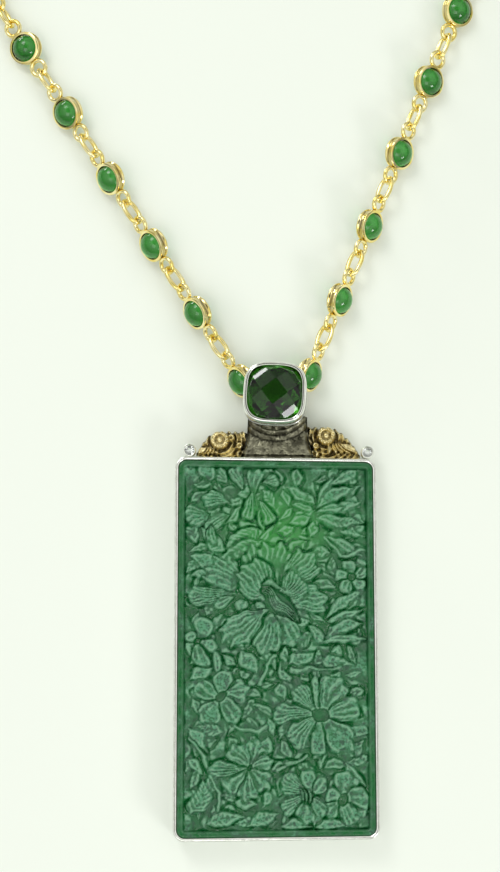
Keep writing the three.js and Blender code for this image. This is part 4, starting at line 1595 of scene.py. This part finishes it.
@dataclass
class Accents:
    """The two small clear stones in silver cups at the castings' outer ends."""

    tray: Tray
    # Where each stands across the tray's edge
    left: float = -16.8
    right: float = 17.9
    radius: float = 1.25
    low: float = 2.9
    height: float = 2.6
    cup: float = 0.9
    cup_steps: int = 40
    # The stone: radius, the height of its widest edge, its rise over that, its depth and its facets
    stone_radius: float = 0.85
    girdle: float = 5.333
    crown: float = 0.317
    depth: float = 0.633
    facets: int = 12
    seam: float = 0.06
    metal: Metal = POLISHED_SILVER
    stone: ClearStone = ClearStone("clear_crystal", "f6faf6", 1.76)

    def pieces(self, side: Side) -> tuple[bpy.types.Object, bpy.types.Object]:
        """Makes a cup and its stone.

        Args:
            side: The side that they are on.

        Returns:
            The cup and the stone.
        """
        across = self.left if side is Side.LEFT else self.right
        place = Matrix.Translation((across, self.tray.edge_at(across) + self.radius + self.seam, 0))
        low, top, out, hole = self.low, self.low + self.height, self.radius, self.stone_radius + 0.1
        profile = ((0, low), (out - 0.35, low), (out - 0.15, low + 0.1), (out - 0.08, low + 0.4),
                   (out, low + 0.9), (out, top - 0.2), (out - 0.06, top - 0.06), (out - 0.14, top),
                   (hole + 0.05, top - 0.02), (hole, top - 0.12), (hole, top - self.cup), (0, top - self.cup))
        cup = turned(profile, self.cup_steps).moved(place)
        cup = cup.piece(f"accent_cup_{side.word}", self.metal.material(), 35)
        edge, table = self.stone_radius, self.girdle + self.crown
        cut = ((0, self.girdle - self.depth), (edge, self.girdle), (edge, self.girdle + 0.04),
               (edge * 0.78, self.girdle + 0.18), (edge * 0.5, table), (0, table))
        stone = turned(cut, self.facets).moved(place)
        return cup, stone.piece(f"accent_crystal_{side.word}", self.stone.material(), None)


# The chain


@dataclass
class Strand:
    """Where the chain runs: straight from the pendant, then one arc, then straight to the clasp."""

    pitch: float = 16.4
    stations: int = 12
    # Each strand's angle from straight up, and the whole chain's turn
    splay: float = math.radians(27.2)
    lean: float = math.radians(5.2)
    start: float = 6.7
    ahead: float = 52.9
    station_radius: float = 3.3
    station_width: float = 1.9
    dome_radius: float = 2.889
    dome_centre: float = -0.389
    eye_reach: float = 3.7
    clasp_length: float = 26.51
    # How far each station from the pendant up is rolled outwards, in degrees, and all those after them
    left_rolls: tuple = (60, 58, 55, 52, 42, 28)
    right_rolls: tuple = (60, 58, 54, 46, 38, 32)
    run_roll: float = 27

    @property
    def reach(self) -> float:
        """Half a station's length with its eyes."""
        return self.station_radius + self.eye_reach

    @property
    def last(self) -> float:
        """How far along the strand its last station is."""
        return (self.stations - 1) * self.pitch

    def at(self, side: Side, distance: float) -> tuple[float, float, float]:
        """Finds the chain's middle line at a distance along it.

        Args:
            side: The strand.
            distance: The distance from its first station's middle.

        Returns:
            The place across, the place along and the heading in radians.
        """
        arc = self.splay + math.pi / 2
        stretch = self.clasp_length / 2 + self.reach
        bent = self.last + self.clasp_length / 2 - stretch
        sine, cosine = math.sin(self.splay), math.cos(self.splay)
        radius = (self.start + bent * sine - stretch) / (arc * sine + cosine)
        straight = min(distance, bent - radius * arc)
        bearing = self.splay - min(max(distance - (bent - radius * arc), 0) / radius, arc)
        across = self.start + straight * sine + radius * (math.cos(bearing) - cosine)
        across -= max(distance - bent, 0)
        along = straight * cosine + radius * (sine - math.sin(bearing))
        x = side.value * across
        turned_x = x * math.cos(self.lean) - along * math.sin(self.lean)
        turned_y = self.ahead + x * math.sin(self.lean) + along * math.cos(self.lean)
        return turned_x, turned_y, math.pi / 2 - side.value * bearing + self.lean

    def roll(self, side: Side, station: int) -> float:
        """Gives how far a station is rolled outwards, in radians."""
        rolls = self.left_rolls if side is Side.LEFT else self.right_rolls
        return math.radians(rolls[station] if station < len(rolls) else self.run_roll)

    def resting_height(self, roll: float) -> float:
        """Gives the height of a rolled station's middle when it lies on the table."""
        on_edge = self.station_radius * math.sin(roll) + self.station_width / 2 * math.cos(roll)
        return max(on_edge, self.dome_radius + self.dome_centre * math.cos(roll))

    def frame(self, side: Side, distance: float, roll: float, height: float) -> Matrix:
        """Places something on the strand with X along the chain.

        Args:
            side: The strand.
            distance: The distance along it.
            roll: How far it is rolled outwards, in radians.
            height: Its height.

        Returns:
            The place.
        """
        x, y, heading = self.at(side, distance)
        turn = Matrix.Rotation(heading, 4, "Z") @ Matrix.Rotation(side.value * roll, 4, "X")
        return Matrix.Translation((x, y, height)) @ turn

    def station_frame(self, side: Side, station: int) -> Matrix:
        """Places a station."""
        roll = self.roll(side, station)
        return self.frame(side, station * self.pitch, roll, self.resting_height(roll))

    def link_frame(self, side: Side, station: int) -> Matrix:
        """Places the link after a station, on the line between the two eyes that it joins.

        Args:
            side: The strand.
            station: The station before it.

        Returns:
            The place.
        """
        start = self.station_frame(side, station) @ Vector((self.reach, 0, 0))
        end = self.station_frame(side, station + 1) @ Vector((-self.reach, 0, 0))
        roll = (self.roll(side, station) + self.roll(side, station + 1)) / 2
        heading = math.atan2(end.y - start.y, end.x - start.x)
        turn = Matrix.Rotation(heading, 4, "Z") @ Matrix.Rotation(side.value * (roll - math.pi / 2), 4, "X")
        return Matrix.Translation((start + end) / 2) @ turn


@dataclass
class Chain:
    """The gold stations with their stones, the links between them and the clasp."""

    strand: Strand
    band_inner: float = 2.68
    stone_radius: float = 2.56
    stone_height: float = 2.5
    eye_radius: float = 2.0
    eye_wire: float = 0.9
    eye_offset: float = 5.0
    link_width: float = 3.6
    link_length: float = 6.12
    link_wire: float = 0.9
    # How straight a link's sides are, where 2 is an ellipse
    link_power: float = 2.3
    # The faces round a band or a stone, and the channel's half width
    facets: int = 48
    channel: float = 0.45
    # The clasp: how far past the last station its link, its hook and its ring are
    end_link_at: float = 8.2
    hook_at: float = 11.4
    ring_at: float = 18.68
    clasp_wire: float = 0.95
    ring_radius: float = 2.9
    # The hook's half width, its bend's middle, and the places that its shank and then its tip pass
    hook_half: float = 2.3
    hook_bend: float = 4.2
    hook_shank: tuple = (0.0, 1.4, 2.8)
    hook_tip: tuple = (3.0, 1.8)
    # The stations a side that have nodes of their own; the rest are in the two chain runs
    shown: int = 6
    gold: Metal = YELLOW_GOLD
    stone: ClearStone = ClearStone("green_glass_stone", "62c460", 1.52)

    def eye(self, at: float) -> Surface:
        """Makes a round eye, such as a station has at each end.

        Args:
            at: Its middle along X.

        Returns:
            The ring of wire, lying in the XY plane.
        """
        middle = self.eye_radius - self.eye_wire / 2
        ring = ring_path(middle, middle, 28) + np.array([at, 0, 0])
        return wire(ring, self.eye_wire / 2, 10, closed=True)

    def station(self) -> Surface:
        """Makes a station's band, with a rolled rim at each side of a shallow channel, and its two eyes.

        Returns:
            The station about its own middle.
        """
        out, half = self.strand.station_radius, self.strand.station_width / 2
        side = ((self.band_inner, 0.2), (self.band_inner, half - 0.12), (self.band_inner + 0.1, half),
                (out - 0.22, half), (out - 0.06, half - 0.08), (out, half - 0.24), (out - 0.04, half - 0.42),
                (out - 0.2, half - 0.55), (out - 0.24, 0.2))
        profile = [*side, *[(r, -z) for r, z in reversed(side)]]
        band = turned(profile, self.facets, closed=True)
        # Painted shade darkens the inside of the band, under the stone, and, less of it, the channel's floor
        dirt = [1.0 if r == self.band_inner else 0.4 if abs(z) < self.channel else 0.0 for r, z in profile]
        band.values["hollow"] = np.repeat(dirt, self.facets)
        return band + self.eye(-self.eye_offset) + self.eye(self.eye_offset)

    def cabochon(self) -> Surface:
        """Makes a stone that is domed on both sides.

        Returns:
            The stone about its station's middle.
        """
        strand, steps = self.strand, 8
        upper = [(0, self.stone_height)]
        for step in range(1, steps + 1):
            radius = self.stone_radius * math.sin(math.pi / 2 * step / steps)
            upper.append((radius, strand.dome_centre + math.sqrt(strand.dome_radius**2 - radius**2)))
        profile = [*upper, *[(r, -z) for r, z in reversed(upper)]]
        return turned(profile, self.facets)

    def link(self, length: float) -> Surface:
        """Makes an oval link.

        Args:
            length: Its outer length.

        Returns:
            The link about its own middle, lying in its XY plane.
        """
        half = self.link_wire / 2
        path = ring_path(length / 2 - half, self.link_width / 2 - half, 36, self.link_power)
        return wire(path, half, 12, closed=True)

    def tree(self) -> tuple[bpy.types.NodeTree, dict[str, str]]:
        """Builds the Geometry Nodes that string a piece at every point of the chain.

        Returns:
            The tree, and the identifier of each of its named inputs.
        """
        tree = bpy.data.node_groups.new("strung_pieces", "GeometryNodeTree")
        side = tree.interface
        side.new_socket("Places", in_out="INPUT", socket_type="NodeSocketGeometry")
        kinds = {
            "Strung piece": "NodeSocketObject",
            "Finish": "NodeSocketMaterial",
            "Size": "NodeSocketFloat",
        }
        sockets = {n: side.new_socket(n, in_out="INPUT", socket_type=k).identifier for n, k in kinds.items()}
        side.new_socket("Chain", in_out="OUTPUT", socket_type="NodeSocketGeometry")
        given = add_node(tree, "NodeGroupInput").outputs
        template = add_node(tree, "GeometryNodeObjectInfo", {"Object": given["Strung piece"]})
        turn = add_node(tree, "GeometryNodeInputNamedAttribute", {"Name": "turn"}, data_type="FLOAT_VECTOR")
        rotation = add_node(tree, "FunctionNodeEulerToRotation", {0: turn.outputs["Attribute"]})
        strung = add_node(
            tree,
            "GeometryNodeInstanceOnPoints",
            {
                "Points": given["Places"],
                "Instance": template.outputs["Geometry"],
                "Rotation": rotation.outputs[0],
                "Scale": given["Size"],
            },
        )
        real = add_node(tree, "GeometryNodeRealizeInstances", {"Geometry": strung.outputs[0]})
        inputs = {"Geometry": real.outputs[0], "Material": given["Finish"]}
        dressed = add_node(tree, "GeometryNodeSetMaterial", inputs)
        add_node(tree, "NodeGroupOutput", {"Chain": dressed.outputs[0]})
        return tree, sockets

    def strung(
        self, name: str, shape: Surface, frames: Sequence[Matrix], finish: bpy.types.Material, crease: float
    ) -> bpy.types.Object:
        """Strings copies of a shape along the chain and makes them one plain mesh.

        Args:
            name: The piece's name.
            shape: The shape about its own middle.
            frames: Where each copy goes.
            finish: Its material.
            crease: The angle from which an edge stays sharp.

        Returns:
            The finished object.
        """
        template = shape.piece(f"{name}_template", finish, crease)
        places = bpy.data.meshes.new(f"{name}_places")
        places.from_pydata([tuple(f.translation * MM) for f in frames], [], [])
        turn = places.attributes.new("turn", "FLOAT_VECTOR", "POINT")
        turn.data.foreach_set("vector", [a for f in frames for a in f.to_euler()])
        carrier = bpy.data.objects.new(f"{name}_carrier", places)
        bpy.context.scene.collection.objects.link(carrier)
        tree, sockets = self.tree()
        modifier = carrier.modifiers.new("strung", "NODES")
        modifier.node_group = tree
        modifier[sockets["Strung piece"]] = template
        modifier[sockets["Finish"]] = finish
        modifier[sockets["Size"]] = 1.0
        bpy.context.view_layer.update()
        graph = bpy.context.evaluated_depsgraph_get()
        mesh = bpy.data.meshes.new_from_object(carrier.evaluated_get(graph), depsgraph=graph)
        mesh.name = name
        carrier.modifiers.remove(modifier)
        for spent in (carrier, template):
            bpy.data.objects.remove(spent)
        bpy.data.node_groups.remove(tree)
        made = bpy.data.objects.new(name, mesh)
        bpy.context.scene.collection.objects.link(made)
        return made

    def clasp(self) -> tuple[Surface, Surface, Surface]:
        """Makes the clasp on the right strand's end.

        Returns:
            The end link, the hook with its eye, and the ring that it catches.
        """
        strand, side = self.strand, Side.RIGHT
        rolled = math.radians(strand.run_roll)
        height = strand.resting_height(rolled)
        across = rolled - math.pi / 2
        end_place = strand.frame(side, strand.last + self.end_link_at, across, height)
        end = self.link(self.link_length).moved(end_place)
        radius = self.clasp_wire / 2
        bend = self.hook_half - radius
        angles = np.linspace(-1, 1, 17) * math.pi / 2
        turn = [(self.hook_bend + bend * math.cos(a), bend * math.sin(a), 0) for a in angles]
        path = [*[(x, -bend, 0) for x in self.hook_shank], *turn, *[(x, bend, 0) for x in self.hook_tip]]
        hook = wire(np.array(path), radius, 12) + self.eye(0)
        hook = hook.moved(strand.frame(side, strand.last + self.hook_at, rolled, height))
        middle = self.ring_radius - radius
        ring_height = max(height, middle * abs(math.sin(across)) + radius)
        ring = wire(ring_path(middle, middle, 40), radius, 12, closed=True)
        ring = ring.moved(strand.frame(side, strand.last + self.ring_at, across, ring_height))
        return end, hook, ring

    def build(self) -> None:
        """Makes and dresses every piece of the chain."""
        gold, green = self.gold.material(), self.stone.material()
        strand = self.strand
        for side in Side:
            word = side.word
            runs = [f"chain_run_{word}_{part}" for part in ("lower", "upper")]
            stations = [strand.station_frame(side, n) for n in range(strand.stations)]
            links = [strand.link_frame(side, n) for n in range(strand.stations - 1)]
            bands = self.strung(f"gold_stations_{word}", self.station(), stations, gold, 40)
            stones = self.strung(f"green_stones_{word}", self.cabochon(), stations, green, 60)
            ovals = self.strung(f"gold_links_{word}", self.link(self.link_length), links, gold, 60)
            for piece, slot, stem in (
                (bands, "gold", "station_setting"),
                (stones, "green_glass", "station_stone"),
                (ovals, "gold", "link"),
            ):
                nodes = [f"{stem}_{word}_{n + 1}" for n in range(self.shown)]
                finish_piece(piece, slot, *nodes, *runs)
        for name, shape in zip(("clasp_link", "clasp_hook", "clasp_ring"), self.clasp()):
            finish_piece(shape.piece(f"gold_{name}", gold, 60), "gold", name)


@dataclass
class Bail:
    """The bar behind the gem and the two eyes from which the strands start."""

    strand: Strand
    depth: float = 2.2
    thickness: float = 1.1
    margin: float = 1.6
    post: float = 0.55
    eye_radius: float = 1.7
    wire: float = 0.9
    reach: float = 6.84
    neck_top: float = 6.5
    sides: int = 32
    finish: Metal = POLISHED_SILVER

    def bar(self, left: float, right: float, middle: float) -> Surface:
        """Makes the bar with softened edges.

        Args:
            left: Its left end.
            right: Its right end.
            middle: Its place along Y.

        Returns:
            The bar.
        """
        angles = np.arange(self.sides) * 2 * math.pi / self.sides
        share = cushion_share(angles, 6)
        across, up = share * np.cos(angles) * self.depth / 2, share * np.sin(angles) * self.thickness / 2
        # Places along the bar, each with how much of its full section it has there
        stops = ((left, 0.86), (left + 0.05, 0.95), (left + 0.16, 1),
                 (right - 0.16, 1), (right - 0.05, 0.95), (right, 0.86))
        centre = self.neck_top - self.thickness / 2
        rings = [np.stack([0 * angles + x, middle + across * s, centre + up * s], 1) for x, s in stops]
        faces = grid_faces(len(stops), self.sides, False, True)
        points = np.concatenate(rings)
        faces += [tuple(range(self.sides)), tuple(range(len(points) - self.sides, len(points)))]
        return Surface(points, faces)

    def piece(self) -> bpy.types.Object:
        """Makes the bail.

        Returns:
            The finished object.
        """
        strand = self.strand
        ends = [strand.at(side, self.post - self.reach - self.eye_radius) for side in Side]
        roll = strand.roll(Side.RIGHT, 0)
        height = strand.resting_height(roll)
        left = min(e[0] for e in ends) - self.margin
        right = max(e[0] for e in ends) + self.margin
        whole = self.bar(left, right, (ends[0][1] + ends[1][1]) / 2)
        top, low = self.neck_top - self.thickness / 2, height - self.post
        middle = self.eye_radius - self.wire / 2
        for side, end in zip(Side, ends):
            profile = ((0, low), (self.post, low), (self.post, top), (0, top))
            whole = whole + turned(profile, 20).moved(Matrix.Translation((end[0], end[1], 0)))
            ring = wire(ring_path(middle, middle, 32), self.wire / 2, 12, closed=True)
            whole = whole + ring.moved(strand.frame(side, -self.reach, roll - math.pi / 2, height))
        return whole.piece("bail_bar", self.finish.material(), 40)


# The room


@dataclass
class Studio:
    """The pale table, the soft lights and the camera above the lying necklace."""

    # The camera: the point of the table that it looks at, its distance, and its angle over the table
    aim: tuple[float, float] = (-4.98, 41.86)
    distance: float = 400.0
    elevation: float = 80.0
    lens: float = 83.43
    sensor: float = 36.0
    table: TableTop = TableTop()
    # Each light: direction and height in degrees, distance and size in mm, power in watts
    lights: tuple = (
        (125, 50, 650, (220, 220), 0.7),
        (-49, 28, 600, (190, 120), 0.75),
        (122, 8, 600, (220, 70), 0.6),
        (-110, 62, 700, (300, 300), 0.5),
    )
    # The room's brightness by the Z of its direction: it rises from the horizon to overhead, and is dark
    # straight above, so that level metal shows grey as well as white
    glow: str = "f4f6ef"
    overhead: float = 1.14
    horizon: float = 0.3
    above: float = 0.08
    rise: tuple = (0.2, 0.8)
    darken: tuple = (0.93, 0.975)

    def floor(self) -> None:
        """Lays the table top just under the necklace."""
        half, below = 900.0, 0.03
        corners = ((-half, -half), (half, -half), (half, half), (-half, half))
        points = np.array([(x, y, -below) for x, y in corners])
        top = Surface(points, [(0, 1, 2, 3)]).piece("table_top", self.table.material(), None)

    def camera(self) -> None:
        """Looks down on the pendant, a little from its foot."""
        lens = bpy.data.cameras.new("camera")
        lens.sensor_fit = "VERTICAL"
        lens.sensor_height = self.sensor
        lens.lens = self.lens
        seen = bpy.data.objects.new("camera", lens)
        tilt = math.radians(90 - self.elevation)
        back = self.distance * math.sin(tilt)
        place = (self.aim[0], self.aim[1] - back, self.distance * math.cos(tilt))
        seen.location = Vector(place) * MM
        seen.rotation_euler = (tilt, 0, 0)
        bpy.context.scene.collection.objects.link(seen)
        bpy.context.scene.camera = seen

    def light(self) -> None:
        """Hangs the soft lights."""
        aim = Vector((self.aim[0], self.aim[1], 0))
        for number, (turn, height, distance, size, power) in enumerate(self.lights):
            lamp = bpy.data.lights.new(f"softbox_{number + 1}", "AREA")
            lamp.shape = "RECTANGLE"
            lamp.size, lamp.size_y = size[0] * MM, size[1] * MM
            lamp.energy = power
            way = Vector((1, 0, 0))
            way.rotate(Euler((0, -math.radians(height), math.radians(turn))))
            hung = bpy.data.objects.new(lamp.name, lamp)
            hung.location = (aim + way * distance) * MM
            hung.rotation_euler = (-way).to_track_quat("-Z", "Y").to_euler()
            bpy.context.scene.collection.objects.link(hung)

    def room(self) -> None:
        """Lights the room that the metal and the stones mirror."""
        world = bpy.data.worlds.new("room")
        world.use_nodes = True
        tree = world.node_tree
        tree.nodes.clear()
        way = add_node(tree, "ShaderNodeTexCoord").outputs["Generated"]
        height = add_node(tree, "ShaderNodeSeparateXYZ", {"Vector": way}).outputs["Z"]
        sky = remap(tree, height, *self.rise, self.horizon, self.overhead)
        shadow = remap(tree, height, *self.darken, 1.0, self.above)
        inputs = {"Color": linear(self.glow), "Strength": product(tree, sky, shadow)}
        glow = add_node(tree, "ShaderNodeBackground", inputs)
        add_node(tree, "ShaderNodeOutputWorld", {"Surface": glow.outputs[0]})
        bpy.context.scene.world = world
        bpy.context.scene.view_settings.view_transform = "Standard"


def main() -> None:
    """Builds the room and then the necklace, from the slab outwards."""
    studio = Studio()
    studio.camera()
    studio.light()
    studio.room()
    studio.floor()
    slab = Slab()
    tray = Tray(slab)
    head = Head()
    neck = Neck(tray, head)
    finish_piece(slab.piece(), "green_quartz", "plaque")
    finish_piece(tray.piece(), "silver", "plaque_setting")
    finish_piece(neck.piece(), "oxidised_silver", "neck")
    castings = (
        Casting(Side.LEFT, neck, shoulder=5.3, rosette=10.9, rosette_up=3.5, outer=15.49),
        Casting(Side.RIGHT, neck, shoulder=6.4, rosette=9.9, rosette_up=4.6, outer=16.59),
    )
    for casting in castings:
        finish_piece(casting.piece(), "gilt_bronze", f"shoulder_{casting.side.word}")
    finish_piece(head.bezel(), "silver", "gem_setting")
    finish_piece(head.gem(), "dark_green_glass", "gem")
    accents = Accents(tray)
    for side in Side:
        cup, stone = accents.pieces(side)
        finish_piece(cup, "silver", f"accent_setting_{side.word}")
        finish_piece(stone, "clear_glass", f"accent_stone_{side.word}")
    strand = Strand()
    finish_piece(Bail(strand).piece(), "silver", "bail")
    Chain(strand).build()


if __name__ == "__main__":
    logging.basicConfig(level=logging.INFO, format="%(name)s %(message)s")
    main()
